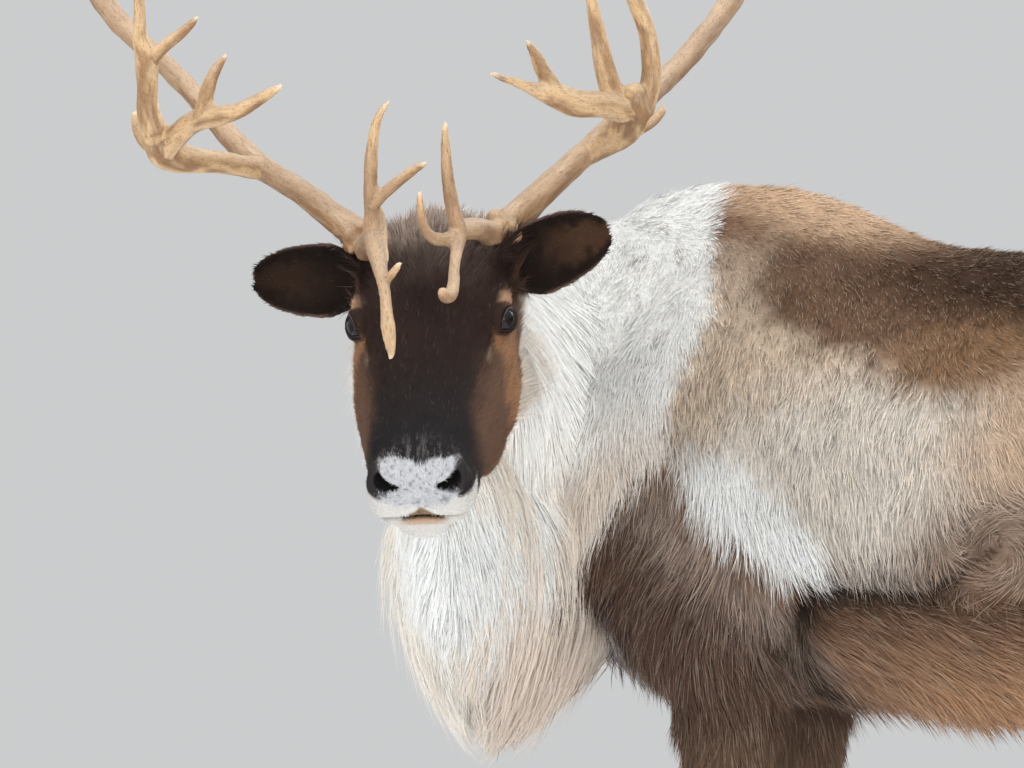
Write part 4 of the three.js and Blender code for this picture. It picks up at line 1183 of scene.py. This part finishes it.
# Colours of single hairs: they vary round the marking, and some are pale or dark. Roots are read a little off
# their places, so that two colours meet in mixed strands.
def hairColours(roots, rng, blur, light, even):
    count = len(roots)
    colour, fleck = markings(roots + rng.normal(0, blur, (count, 3)) * np.array([1, 0.3, 1]))
    level = 1 + rng.normal(0, 0.3, count) * fleck + 0.1 * fleck * noise(roots, 14, 51)
    level = np.clip(level + 0.05 * noise(roots, 45, 52), 0.5, 1.5)[:, None]
    warm = 1 + rng.normal(0, 0.025, count)[:, None] * np.array([1, 0, -1.4])
    base, tip = colour * level * even, colour * level * warm * (2.0 - even) * 0.96
    pick = rng.random(count)
    dark, pale = pick < fleck * 0.4, pick > 1 - fleck * 0.5
    base[dark], tip[dark] = base[dark] * 0.6, tip[dark] * 0.45
    tip[pale] = tip[pale] * (1 - light) + tone(206, 190, 172) * light
    return base, tip


# What most coats share. Widths, sink (how deep the root stands), clumpSize and blur (how far off its root a
# hair's colour is read) are in millimetres. rise is the angle off the skin in degrees at root and tip, and
# loose how far it varies. light is how pale the pale hairs are, even how like its tip a hair's base is, and
# soft how far it is shaded as the skin is.
shortHair = {"stops": [0, 1], "rise": (15, 15), "loose": 5, "bend": 0.16, "curl": 0, "droop": 0, "sink": 0.8,
             "clump": 0.12, "clumpSize": 12, "blur": 6.0, "light": 0.36, "even": 0.84, "soft": 0.6}


def growCoat(name, density, count, style, patchOf, look, slotName, seed):
    rng = np.random.default_rng(seed)
    roots, normals = rootsOn(density, count, rng)
    flow = flowOf(roots, normals)
    long = style["length"](roots) if callable(style["length"]) else np.full(count, float(style["length"]))
    long = long * rng.uniform(0.65, 1.25, count)
    wide = style["width"] * rng.uniform(0.7, 1.25, count)
    path = hairPaths(roots, normals, flow, long, style, rng)
    base, tip = hairColours(roots, rng, style["blur"], style["light"], style["even"])
    hairObject(name, path, normals, wide, base, tip, patchOf(roots), look, slotName, softness=style["soft"])


px, py, pz = skinPoints.T
weight = {key: value.astype(float) for key, value in regionsOf(skinPoints).items()}


# The short coat is straight spikes; longer bent guard hairs stand among them.
def trunkLength(roots):
    x, y, z = roots.T
    back = 15 + 8 * ramp(1080, 960, z) + 6 * ramp(950, 840, z)
    return back + 9 * ramp(780, 720, z) + 12 * hump(np.hypot(x + 20, z - 790), 0, 90)


trunkStyle = {**shortHair, "length": trunkLength, "width": 1.75, "rise": (17, 17), "loose": 6, "bend": 0.2,
              "sink": 1.5, "clump": 0.2, "soft": 0.82}
guardStyle = {**trunkStyle, "stops": [0, 0.45, 1], "length": lambda roots: 1.3 * trunkLength(roots),
              "width": 1.3, "rise": (26, 16), "loose": 8, "bend": 0.25, "soft": 0.6}
trunkParts = [
    ("left_front", (py < 0) & (px < 330), 39000), ("left_rear", (py < 0) & (px >= 330), 34000),
    ("right_front", (py >= 0) & (px < 330), 31000), ("right_rear", (py >= 0) & (px >= 330), 31000),
]
for seed, (name, chosen, count) in enumerate(trunkParts):
    density = (weight["trunk"] + weight["tail"]) * chosen * (1 + 0.5 * ramp(60, -40, px))
    growCoat(f"coat_{name}", density, count, trunkStyle, trunkPatch, coatLook, "coat", 100 + seed)
density = weight["trunk"] * np.where(py < 0, 1.6, 1) * (1 + 1.5 * ramp(840, 760, pz))
growCoat("coat_guard", density, 13000, guardStyle, trunkPatch, coatLook, "coat", 110)

neckStyle = {**shortHair, "length": 36, "width": 1.7, "rise": (13, 13), "sink": 1, "clumpSize": 16,
             "even": 0.94, "soft": 0.85}
neckLong = {**neckStyle, "stops": [0, 0.45, 1], "length": 48, "width": 1.6, "rise": (22, 10),
            "curl": 0.08, "droop": 0.15}
neckPart = weight["neck"] * ramp(640, 740, pz)
growCoat("coat_neck", neckPart, 30000, neckStyle, neckPatch, maneLook, "mane", 120)
growCoat("coat_neck_long", neckPart, 6000, neckLong, neckPatch, maneLook, "mane", 121)


def legLength(roots):
    return np.interp(roots[:, 2], [60, 300, 450, 560, 640], [11, 12, 15, 22, 30])


legStyle = {**shortHair, "length": legLength, "width": 1.5, "loose": 6, "sink": 1.2, "clump": 0.16,
            "clumpSize": 9}
growCoat("coat_forelegs", weight["leg"] * (px < 400), 21000, legStyle, legPatch, coatLook, "coat", 130)
growCoat("coat_hindlegs", weight["leg"] * (px >= 400), 21000, legStyle, legPatch, coatLook, "coat", 131)


def faceLength(roots):
    local = toHead(roots)
    long = np.interp(local[:, 0], [-112, -60, 0, 120, 200, 250], [34, 19, 12, 10, 6.5, 4.5])
    long += 20 * ramp(-40, -90, local[:, 0]) * ramp(0, -60, local[:, 2])
    distance = eyeDistance(local)
    return np.where(distance < 34, np.minimum(long, 3 + 0.2 * distance), long)


# The rims of the eyes, the nostrils and the mouth carry no hair.
def bareSkin(local):
    bare = (np.abs(mouthGap(local)) < 2.4) & (local[:, 0] > 200)
    for side in (-1, 1):
        bare |= roundEye(local, side) & (lidEdge(local, side) < 2.6)
        bare |= nostrilShare(local, side) < 1.2
    return bare


faceStyle = {**shortHair, "length": faceLength, "width": 1.2, "rise": (14, 14), "clumpSize": 7, "blur": 2.0,
             "light": 0.12}
local = toHead(skinPoints)
closer = 1 + 1.2 * ramp(150, 230, local[:, 0]) + 1.3 * ramp(-40, -90, local[:, 0])  # at the nose and the poll
faceDensity = weight["head"] * ~bareSkin(local) * closer
growCoat("coat_face", faceDensity, 34000, faceStyle, headPatch, coatLook, "face", 140)
earStyle = {**shortHair, "length": 6.5, "width": 1.1, "rise": (11, 11), "bend": 0.2, "clump": 0.1,
            "clumpSize": 6, "blur": 1.5, "light": 0.1}
growCoat("coat_ears", weight["ear"], 9500, earStyle, headPatch, coatLook, "face", 141)

# Mane: wavy strands in locks, from the core of the mane out to the CAD's outline


# Points of the mane by their way along it, their angle round it and their share of its reach
def manePoints(u, degrees, share):
    at = curveAt(maneLine, np.clip(u, 0, 1))
    ahead, behind = (curveAt(maneLine, np.clip(u + step, 0, 1)) for step in (0.02, -0.02))
    run = unit((ahead - behind)[:, :2])
    c, s = np.cos(np.radians(degrees)), np.sin(np.radians(degrees))
    out = at[:, 5] * c * (1 - np.where(s > 0, 0.3, 0.35) * s * s) * share
    made = at[:, :3].copy()
    made[:, 0] -= run[:, 1] * out
    made[:, 1] += run[:, 0] * out
    made[:, 2] += np.where(s > 0, at[:, 3], at[:, 4]) * s * share
    return made


# rootRows are the rows of locks by their angle; a lock that starts at rootAngle hangs to tipAngle.
mane = {
    "locks": 520, "strands": 20, "width": 2.3, "stops": [0, 0.26, 0.52, 0.78, 1], "wave": 6.5, "gather": 0.47,
    "rootRows": [46, 20, -6, -32, -58, -82], "reach": [1.0, 0.9, 0.78, 0.6], "odds": [0.5, 0.24, 0.14, 0.12],
    "rootAngle": [-90, -44, -4, 30, 70], "tipAngle": [-90, -85, -68, -38, -8], "core": 0.42,
    "middle": (-225, -170, 860), "shade": 0.9,
}
locks = mane["locks"]
rng = np.random.default_rng(7)
lockU = rng.uniform(-0.02, 1.03, locks)
lockRoot = rng.choice(mane["rootRows"], locks) + rng.uniform(-14, 14, locks)
lockMirror = rng.random(locks) < 0.5
lockShare = rng.choice(mane["reach"], locks, p=mane["odds"]) + rng.normal(0, 0.025, locks)
lockDrift = rng.normal(0, 0.02, locks) - 0.3 * (lockU - mane["gather"])
lockPhase = rng.random(locks) * 6.28
which = np.repeat(np.arange(locks), mane["strands"])  # the lock of each strand
count = len(which)


def sided(degrees):
    return np.where(lockMirror[which], 180 - degrees, degrees)


def tipOf(degrees):
    return np.interp(degrees, mane["rootAngle"], mane["tipAngle"])


slip, twist = rng.normal(0, 0.035, count), rng.normal(0, 9, count)
rootAngle = np.clip(lockRoot[which] + twist, -90, 70)
rootU = lockU[which] + slip
start = manePoints(rootU, sided(rootAngle), mane["core"])
bulge = lockShare[which] * (1.02 + rng.normal(0, 0.025, count))
middle = manePoints(rootU + lockDrift[which] / 2, sided((rootAngle + tipOf(rootAngle)) / 2 + 11), bulge)
tipShare = lockShare[which] * rng.uniform(0.86, 1.1, count)
tipTurn = sided(0.75 * tipOf(rootAngle) + 0.25 * tipOf(lockRoot[which]))
end = manePoints(lockU[which] + 0.45 * slip + lockDrift[which], tipTurn, tipShare)
stops = np.array(mane["stops"])
path = np.array([(1 - t) ** 2 * start + 2 * t * (1 - t) * middle + t * t * end for t in stops])
outward = unit(middle - np.array(mane["middle"]))
wide = unit(np.cross(end - start, outward))
long = np.linalg.norm(end - start, axis=1)
for k, t in enumerate(stops):
    phase = lockPhase[which] + t * long / 22 + rng.normal(0, 0.4, count)
    sway = np.sin(phase) * mane["wave"] * t * (1.15 - 0.4 * t)
    lift = 0.5 * mane["wave"] * t * np.cos(lockPhase[which] * 2 + t * long / 27)
    path[k] += wide * sway[:, None] + outward * lift[:, None]
# whiter towards the throat, pinker towards the chest and at the lowest tips, with a few yellowish locks
chestward = ramp(-345, -215, dots(middle, np.array([0.94, 0.342, 0])) + 14 * noise(middle, 40, 81))
lowness = ramp(740, 600, path[-1][:, 2] + 20 * noise(middle, 30, 82))
yellow = np.clip(rng.normal(0.12, 0.16, locks), 0, 0.6)[which]
tint = (1 + rng.normal(0, 0.035, locks)[which] + rng.normal(0, 0.04, count))[:, None]
colour = mixed(mixed(tone(224, 220, 213), tone(212, 200, 189), chestward), tone(206, 190, 160), yellow)
base = mixed(colour, tone(208, 203, 193), 0.3) * tint * mane["shade"]
tip = mixed(colour, tone(207, 187, 171), lowness * (0.2 + 0.5 * chestward)) * tint * 1.04 * mane["shade"]
maneWidth = mane["width"] * rng.uniform(0.65, 1.2, count)
patch = np.stack([spreadOut(rootU, -0.2, 1.2), spreadOut(sided(rootAngle), -100, 280)], 1)
fore = lockU[which] < 0.5
for name, part in (("mane_chest", fore), ("mane_throat", ~fore)):
    each = [values[part] for values in (outward, maneWidth, base, tip, patch)]
    hairObject(name, path[:, part], *each, maneLook, "mane", profile=[0.9, 1, 0.9, 0.6], softness=0.85)

# Fringes of guard hair under the belly and the brisket
fringeStyle = {**shortHair, "stops": [0, 0.35, 0.7, 1], "length": 46, "width": 1.6, "rise": (26, 20),
               "loose": 9, "bend": 0.22, "sink": 2, "droop": 0.7, "clump": 0.14, "clumpSize": 14}
under = ramp(700, 650, pz) * (skinNormals[:, 2] < -0.25) * ramp(60, 110, px) * ramp(700, 620, px)
brisket = ramp(760, 690, pz) * ramp(-20, -60, px) * (np.abs(py) < 130) * (skinNormals[:, 2] < 0.2)
fringe = (under + brisket * 1.6) * weight["trunk"]
growCoat("coat_fringe", fringe, 4400, fringeStyle, trunkPatch, coatLook, "coat", 150)

# Antlers, in the head's frame, from the same curves as the CAD's
leftAntler = {
    "side": "left",
    "beam": [(-95, 64, 38, 17), (-182, 126, 50, 13.6), (-257, 180, 59, 12.8), (-357, 239, 59, 11.8),
         (-471, 295, 69, 12), (-583, 341, 105, 11), (-619, 365, 197, 10), (-610, 360, 303, 8.6),
         (-565, 339, 407, 4.2)],
    "brow": [
        [(-89, 63, 43, 14), (-63, 53, 69, 12), (-38, 43, 88, 11), (-16, 34, 99, 9)],
        [(-19, 37, 96, 9.5), (-24, 33, 117, 7.8), (-32, 30, 143, 7), (-40, 29, 160, 6.3), (-48, 29, 176, 5.4),
         (-56, 29, 191, 4), (-62, 30, 201, 2.8)],
        [(-17, 36, 97, 8.5), (-6, 26, 99, 7.3), (3, 17, 105, 6.9), (7, 10, 113, 6), (5, 5, 124, 5),
         (0, 3, 138, 4.4), (-4, 3, 149, 3.6), (-8, 3, 156, 2.8)],
        [(-19, 36, 97, 10), (4, 35, 92, 6.8), (31, 34, 89, 6), (56, 35, 88, 6.2), (74, 33, 87, 7),
         (84, 29, 92, 7), (89, 27, 101, 5.2)],
    ],
    "bez": [
        [(-215, 151, 49, 8, 9), (-208, 170, 67, 13, 11), (-181, 195, 106, 20, 11.5),
         (-158, 210, 148, 22, 11.5), (-150, 214, 168, 13, 9)],
        [(-147, 204, 148, 12), (-122, 181, 175, 13.4), (-102, 159, 191, 14), (-93, 138, 209, 12.6),
         (-83, 122, 222, 7.6), (-73, 106, 238, 4.9), (-65, 92, 250, 3.8), (-60, 83, 259, 2.8)],
        [(-95, 141, 207, 10.5), (-99, 129, 235, 7.8), (-101, 123, 252, 5.8), (-102, 117, 268, 2.8)],
        [(-148, 196, 158, 12.5), (-156, 187, 187, 11.4), (-167, 182, 226, 8.8), (-177, 177, 266, 5.6),
         (-183, 175, 292, 4.6), (-188, 175, 313, 2.9)],
        [(-155, 219, 142, 12), (-170, 229, 166, 11), (-182, 231, 190, 10.2), (-194, 228, 216, 9.4),
         (-206, 218, 245, 8.8), (-216, 206, 275, 6.6), (-224, 198, 294, 3)],
        [(-170, 215, 113, 7), (-187, 226, 109, 5.6), (-201, 234, 110, 4.7), (-209, 237, 111, 3)],
    ],
    "back": [(-490, 302, 77, 9.5), (-534, 320, 80, 7.6), (-575, 341, 83, 5.8), (-610, 366, 82, 3)],
    "crown": [
        [(-598, 352, 150, 10), (-633, 375, 169, 8.6), (-672, 391, 194, 7), (-694, 398, 230, 5.4),
         (-716, 404, 266, 3)],
        [(-616, 362, 212, 9.6), (-644, 375, 245, 8.2), (-670, 384, 282, 6.6), (-685, 386, 326, 5),
         (-698, 386, 372, 3)],
        [(-609, 358, 289, 9), (-624, 365, 331, 7.8), (-638, 368, 375, 6.4), (-642, 365, 421, 4.8),
         (-643, 358, 469, 3)],
    ],
}
rightAntler = {
    "side": "right",
    "beam": [(-88, -68, 42, 17), (-153, -134, 60, 12.8), (-212, -195, 70, 12.6), (-322, -276, 98, 11),
         (-430, -362, 126, 12), (-540, -414, 176, 11), (-574, -427, 271, 10), (-567, -401, 374, 8.6),
         (-524, -353, 479, 4.2)],
    "brow": [
        [(-73, -69, 44, 12), (-48, -62, 69, 10.5), (-19, -52, 96, 10.5), (-12, -49, 103, 10)],
        [(-2, -47, 93, 10), (-15, -50, 108, 10), (-24, -49, 124, 8.2), (-28, -49, 140, 7.6),
         (-34, -48, 158, 7), (-40, -46, 176, 6.8), (-46, -43, 192, 5.8), (-53, -39, 208, 5.1),
         (-60, -32, 221, 4),
         (-64, -24, 228, 2.6)],
        [(-25, -47, 133, 7.4), (-24, -34, 146, 6.2), (-22, -18, 161, 5.8), (-23, -3, 172, 5),
         (-25, 11, 179, 2.7)],
        [(-17, -49, 104, 10.2), (-3, -48, 102, 10.6), (27, -42, 100, 9), (55, -36, 99, 7), (77, -32, 92, 5.8),
         (97, -30, 84, 6.5), (113, -28, 77, 7.2), (126, -26, 69, 6.2), (135, -25, 63, 4.2),
         (140, -25, 59, 2.6)],
        [(60, -35, 95, 5.2), (63, -25, 107, 4.5), (62, -16, 118, 3)],
        [(-35, -41, 123, 2), (-22, -40, 109, 4), (0, -38, 102, 4.6), (29, -35, 99, 4)],
    ],
    "bez": [
        [(-196, -180, 66, 12), (-180, -202, 82, 11.6), (-163, -227, 100, 12), (-146, -248, 115, 12.4),
         (-134, -264, 132, 12)],
        [(-158, -233, 104, 11, 12), (-142, -256, 121, 16, 12), (-129, -271, 143, 19, 11.5),
         (-122, -276, 175, 15, 11), (-120, -276, 200, 11, 10)],
        [(-114, -275, 171, 13), (-118, -278, 197, 11.2), (-122, -276, 216, 10.8), (-126, -274, 234, 11.4),
         (-132, -274, 252, 11.4), (-138, -278, 269, 8), (-146, -277, 285, 6.8), (-155, -276, 306, 6),
         (-169, -272, 332, 4.8), (-179, -267, 354, 2.9)],
        [(-128, -268, 141, 12), (-120, -241, 173, 11.4), (-106, -218, 192, 11.4), (-100, -200, 198, 10.4),
         (-97, -180, 205, 8), (-98, -160, 216, 6.3), (-98, -145, 225, 4.9), (-99, -136, 230, 2.9)],
        [(-107, -220, 194, 10.5), (-112, -216, 210, 8.6), (-118, -209, 229, 6.7), (-123, -200, 243, 5),
         (-127, -192, 252, 2.9)],
        [(-130, -273, 245, 9), (-133, -255, 261, 6.7), (-136, -236, 275, 5.5), (-137, -225, 284, 4.5),
         (-139, -218, 291, 2.8)],
        [(-128, -273, 139, 9), (-140, -289, 144, 7.4), (-154, -297, 152, 6.4), (-167, -300, 161, 4)],
    ],
    "back": [(-452, -366, 142, 9.5), (-491, -387, 146, 7.6), (-525, -412, 150, 5.8), (-556, -441, 153, 3)],
    "crown": [
        [(-553, -420, 219, 10), (-585, -441, 244, 8.6), (-619, -460, 270, 7), (-639, -465, 306, 5.4),
         (-658, -465, 344, 3)],
        [(-573, -422, 286, 9.6), (-597, -432, 322, 8.2), (-620, -437, 358, 6.6), (-632, -434, 401, 5),
         (-644, -428, 444, 3)],
        [(-566, -404, 363, 9), (-581, -404, 405, 7.8), (-597, -401, 447, 6.4), (-602, -389, 493, 4.8),
         (-606, -373, 541, 3)],
    ],
}
upright = unit([0.31, -0.2, 0.93])  # up from round branches
facing = unit([0.807, 0.1, 0.582])  # out from flat ones
skyward = unit([-0.588, 0.042, 0.808])  # the sky, as the head sees it


# Rows hold a place and a radius, or half width and half thickness where the antler is flattened to a palm.
def branchTable(rows):
    rows = np.array(rows, float)
    flat = rows.shape[1] == 5
    thin = rows[:, 4] if flat else rows[:, 3]
    return np.column_stack([rows[:, :3], thin, thin, rows[:, 3]]), facing if flat else upright


# How far each point is from a branch's surface, with its place across and along it, its share of the way to
# the tip, and the branch's thickness there
def placeOn(rows, over, points):
    count = 80  # steps along the branch
    line = curveAt(rows, np.linspace(0, 1, count))
    middles, order = line[:, :3], np.arange(count)
    tangents = unit(middles[np.minimum(order + 1, count - 1)] - middles[np.maximum(order - 1, 0)])
    gone = np.concatenate([[0], np.cumsum(np.linalg.norm(np.diff(middles, axis=0), axis=1))])
    best, kept = np.full(len(points), 1e9), np.zeros((len(points), 5))
    same = np.ones(len(points))
    above = over
    for i, tangent in enumerate(tangents):
        across = unit(np.cross(above, tangent))
        above = np.cross(tangent, across)
        rel = points - middles[i]
        a, b, t = rel @ across, rel @ above, rel @ tangent
        away = np.sqrt((a * line[i, 3] / line[i, 5]) ** 2 + b * b + t * t) - line[i, 3]
        nearer = away < best
        best = np.where(nearer, away, best)
        found = np.stack([a, b, 0.22 * (gone[i] + t), same * (i / count), same * line[i, 3]], 1)
        kept[nearer] = found[nearer]
    return best, kept


def antlerLook():
    shade = Shade(
        "antler_bone", roughness=0.5, specular_ior_level=0.25, subsurface_weight=0.04, subsurface_scale=0.004
    )
    grain = shade.attribute("grain", "Vector")
    streak = shade.speckle(grain, 0.42, 5, 0.65)
    fine = shade.speckle(grain, 1.1, 2, 0.5)
    mottle = shade.speckle(grain, 0.09, 3)
    colour = shade.mix(shade.attribute("coat"), (0.15, 0.075, 0.03, 1), streak.between(0.53, 0.72) * 0.6)
    colour = shade.mix(colour, (0.6, 0.48, 0.36, 1), mottle.between(0.54, 0.72) * 0.35)
    colour = shade.mix(colour, (0.13, 0.065, 0.03, 1), fine.between(0.56, 0.68) * 0.5)
    shade.bump(streak * 0.8 + mottle * 0.4 - fine * 0.25, 0.55, 0.0022)
    return shade.finish(colour, mottle.spanning(0.38, 0.62))


# The burr is a ring of knobs round the foot of the beam; none stands below its lowest level, in the skull.
burr = {"ahead": 9, "knobs": 9, "apart": 0.7, "radius": 15.5, "size": 8.5, "wave": 3, "lowest": 30}
boneLook = antlerLook()
for antler in (leftAntler, rightAntler):
    lines = [antler["beam"], *antler["brow"], *antler["bez"], antler["back"], *antler["crown"]]
    tables = [branchTable(rows) for rows in lines]
    forms = []
    for number, (table, over) in enumerate(tables):
        forms.append(loft(table, sides=20, rings=48 if number else 150, over=over, carry=True))
        if number:
            forms.append(ball(table[-1, :3], (0.92 * table[-1, 5],) * 3, 12, 8))
    start, second = (np.array(row[:3]) for row in antler["beam"][:2])
    towards = unit(second - start)
    foot = start + burr["ahead"] * towards
    around = [unit(np.cross(towards, upright)), unit(np.cross(towards, np.cross(towards, upright)))]
    for turn in np.arange(burr["knobs"]) * burr["apart"]:
        spot = foot + burr["radius"] * (math.cos(turn) * around[0] + math.sin(turn) * around[1])
        spot = spot + burr["wave"] * math.sin(turn * 5) * towards
        if spot[2] > burr["lowest"]:
            forms.append(ball(spot, (burr["size"],) * 3, 14, 10))
    points, triangles = fused(forms, 2.7)
    points = relaxed(points, triangles, 5)
    nearest, rail = np.full(len(points), 1e9), np.zeros((len(points), 5))
    beamed = np.zeros(len(points))
    for number, (table, over) in enumerate(tables):
        away, found = placeOn(table, over, points)
        nearer = away < nearest - 0.01
        nearest = np.where(nearer, away, nearest)
        # each branch has its own grain, and only those that end in a point get a pale tip
        rail[nearer] = found[nearer] + [31 * number, 0, 17 * number, 0 if table[-1, 5] < 4.4 else -0.4, 0]
        beamed[nearer] = number == 0
    grain, share, thickness = rail[:, :3], rail[:, 3], rail[:, 4]
    normals = normalsOf(points, triangles)
    near = np.linalg.norm(points - foot, axis=1)
    knobbly = 1.8 * noise(points, 5, 63) * ramp(40, 20, near)
    rough = noise(grain, 3.4, 61) * 0.45 + noise(points, 16, 62) * 0.8 + knobbly
    points = points + normals * (rough * np.clip(thickness / 12, 0.2, 1))[:, None]
    # brown grain round the burr and along the branches, heavier on the undersides as painted shade; the sides
    # facing the sky are painted pale as a painted highlight, and the tips are pale
    level = dots(normals, skyward)
    grainy = ramp(-0.35, 0.5, noise(grain, 9, 64) + 0.6 * noise(grain, 3, 65))
    brow = ramp(-110, -60, points[:, 0]) * ramp(90, 70, np.abs(points[:, 1])) * ramp(0.75, 0.4, share)
    paint = Paint(len(points), (197, 166, 127))
    paint.lay((163, 135, 108), beamed)
    # brown grain, darker on the undersides as painted shade
    paint.lay((122, 88, 60), grainy * (0.4 + 0.4 * ramp(0.35, -0.55, level)))
    paint.lay((138, 102, 66), ramp(110, 30, near) * (0.3 + 0.5 * grainy))
    paint.lay((140, 112, 90), brow * 0.6)
    # painted highlight on the sides facing the sky
    paint.lay((206, 184, 158), ramp(-0.1, 0.75, level) * 0.4)
    paint.lay((222, 204, 176), ramp(0.84, 0.99, share) * 0.85)
    uneven = 1 + 0.1 * noise(points, 30, 66) + 0.08 * noise(grain, 2.2, 67)
    colour = np.clip(paint.colour * uneven[:, None], 0.01, 0.9)
    name = f"antler_{antler['side']}"
    item = objectFrom(name, toFrame(fromHead(points)), triangles, boneLook, colour, grain)
    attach(item, "root")
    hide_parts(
        *[f"antler_{antler['side']}_{part}" for part in ("beam", "crown", "brow", "bez", "back_tine")]
    )
    print("stage: antler", antler["side"], len(triangles))


# Hooves: two claws and two dew claws on each foot, dark horn with growth rings
def hornLook():
    shade = Shade("hoof_horn", roughness=0.45, specular_ior_level=0.5)
    grain = shade.attribute("grain", "Vector")
    ringed = shade.speckle(grain, 0.22, 3, 0.5)
    chips = shade.speckle(shade.place(), 90, 4, 0.6)
    colour = shade.mix((0.028, 0.022, 0.019, 1), (0.115, 0.085, 0.062, 1), ringed.between(0.42, 0.7))
    colour = shade.mix(colour, (0.16, 0.13, 0.1, 1), chips.between(0.58, 0.75) * 0.4)
    shade.bump(ringed * 0.8 + chips * 0.3, 0.6, 0.0015)
    return shade.finish(colour, chips.spanning(0.34, 0.66))


# Stations from the end of a leg: place behind it, place out from the foot's middle, height, reach to the
# front and to the back, and half width
hoof = {
    "claw": [(-12, 27, 0, 56, 44, 24), (-12, 27, 10, 58, 45, 25.5), (-6, 26, 34, 46, 40, 23),
             (0, 20, 61.7, 30, 32, 18.5)],
    "dewclaw": [(32, 20, 94, 9, 9, 9), (46, 24, 72, 14, 12, 12), (53, 25, 46, 12, 8, 10),
                (54, 25, 30, 4, 3, 5)],
}
horn = hornLook()
for leg in legSet:
    footX, footY = legTable(leg)[-1, :2]
    for place, turn in (("inner", -leg["side"]), ("outer", leg["side"])):
        for kind, stations in hoof.items():
            rows = [(footX + behind, footY + turn * out, *rest) for behind, out, *rest in stations]
            upended = {"along": (0, 0, -1), "square": 2.2} if kind == "claw" else {}
            points, triangles = loft(rows, sides=36, rings=18, over=(-1, 0, 0), **upended)
            grain = points * np.array([0.12, 0.12, 1])
            name = f"{leg['name']}_{kind}_{place}"
            item = objectFrom(f"{name}_horn", toFrame(points), triangles, horn, grain=grain)
            item.data.set_sharp_from_angle(angle=math.radians(50))
            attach(item, "root")
            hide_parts(name)
print("stage: hooves")


# Eyes: a dark ball with a level pupil under a clear front
def eyeLook():
    shade = Shade("eye_ball", roughness=0.08, specular_ior_level=0.16, coat_weight=0.14, coat_roughness=0.02)
    streak = shade.speckle(shade.attribute("grain", "Vector"), 1.0, 4)
    colour = shade.mix(shade.attribute("coat"), (0.05, 0.03, 0.018, 1), streak.between(0.45, 0.7) * 0.35)
    return shade.finish(colour, streak.spanning(0.04, 0.1))


glossy = eyeLook()
for side in (-1, 1):
    look, slit, lift = eyeAxes(side)
    points, triangles = ball((0, 0, 0), (1, 1, 1), 64, 48)
    forward, a, b = points.T
    radius = eye["radius"] + 1.1 * ramp(0.72, 0.95, forward)
    spots = look * forward[:, None] + slit * a[:, None] + lift * b[:, None]
    spots = mirrored(eye["place"], side) + spots * radius[:, None]
    far, around = np.hypot(a, b), np.arctan2(b, a)
    paint = Paint(len(points), (32, 32, 43))
    paint.lay((22, 18, 19), ramp(0.5, 0.62, far))
    paint.lay((96, 86, 84), ramp(0.8, 0.88, far) * ramp(0, 0.4, b))  # white of the eye, under the upper lid
    paint.lay((15, 12, 12), ramp(0.42, 0.58, a))
    paint.lay((9, 9, 13), ramp(1.2, 0.8, np.hypot(a / 0.5, b / 0.3)))  # pupil
    grain = np.stack([np.cos(around) * 6, np.sin(around) * 6, far * 1.5], 1)
    name = f"eye_ball_{'left' if side > 0 else 'right'}"
    item = objectFrom(name, toFrame(fromHead(spots)), triangles, glossy, paint.colour, grain)
    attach(item, "root")
    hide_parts("eye_left" if side > 0 else "eye_right")
print("stage: eyes")

# A pale floor that fades into the pale world far off, and soft light
studio = {"floor": (0.46, 0.465, 0.47, 1), "world": (0.6, 0.605, 0.61, 1), "fade": (1.6, 6), "reach": 90,
          "level": -0.0005}


def floorLook():
    shade = Shade("floor_paper", roughness=1.0, specular_ior_level=0.0, emission_strength=1.0)
    away = shade.make("ShaderNodeVectorMath", {"operation": "LENGTH"}, {0: shade.place()}).outputs["Value"]
    far = Level(shade, away).between(*studio["fade"])
    shade.feed(shade.shader.inputs["Emission Color"], shade.mix((0, 0, 0, 1), studio["world"], far))
    return shade.finish(shade.mix(studio["floor"], (0, 0, 0, 1), far))


reach = studio["reach"]
corners = [(x, y, studio["level"]) for y in (-reach, 0, reach) for x in (-reach, 0, reach)]
halves = [half for a in (0, 1, 3, 4) for half in ((a, a + 1, a + 4), (a, a + 4, a + 3))]
floor = objectFrom("floor", np.array(corners, float), np.array(halves), floorLook())

bpy.context.scene.view_settings.view_transform = "Standard"
world = bpy.data.worlds.new("soft")
world.use_nodes = True
world.node_tree.nodes["Background"].inputs[0].default_value = studio["world"]
world.node_tree.nodes["Background"].inputs[1].default_value = 1.0
bpy.context.scene.world = world


def lamp(name, place, target, size, power, colour):
    data = bpy.data.lights.new(name, "AREA")
    data.shape, data.size, data.size_y = "RECTANGLE", size[0], size[1]
    data.energy, data.color = power, colour
    item = bpy.data.objects.new(name, data)
    away = unit(np.array(place) - np.array(target))
    yaw = math.atan2(away[1], away[0]) + math.pi / 2
    item.location = place
    item.rotation_euler = (math.acos(away[2]), 0, yaw)
    item.visible_camera = False
    bpy.context.scene.collection.objects.link(item)


lamp("key", (-2.6, -4.6, 3.8), (0, 0, 0.9), (3.6, 3.0), 188, (1, 0.98, 0.95))
lamp("top", (0.6, 0.4, 4.6), (0, 0, 0.9), (5.0, 4.0), 122, (1, 1, 1))
lamp("fill", (4.2, -5.0, 2.0), (0, 0, 0.8), (3.4, 2.4), 185, (1, 0.99, 0.97))
lamp("ground", (0.2, -1.2, 0.02), (0.2, -1.2, 1), (5.0, 4.0), 62, (1, 1, 1))
lamp("back", (1.2, 4.8, 2.8), (0, 0, 0.9), (4.0, 3.0), 130, (1, 1, 1))
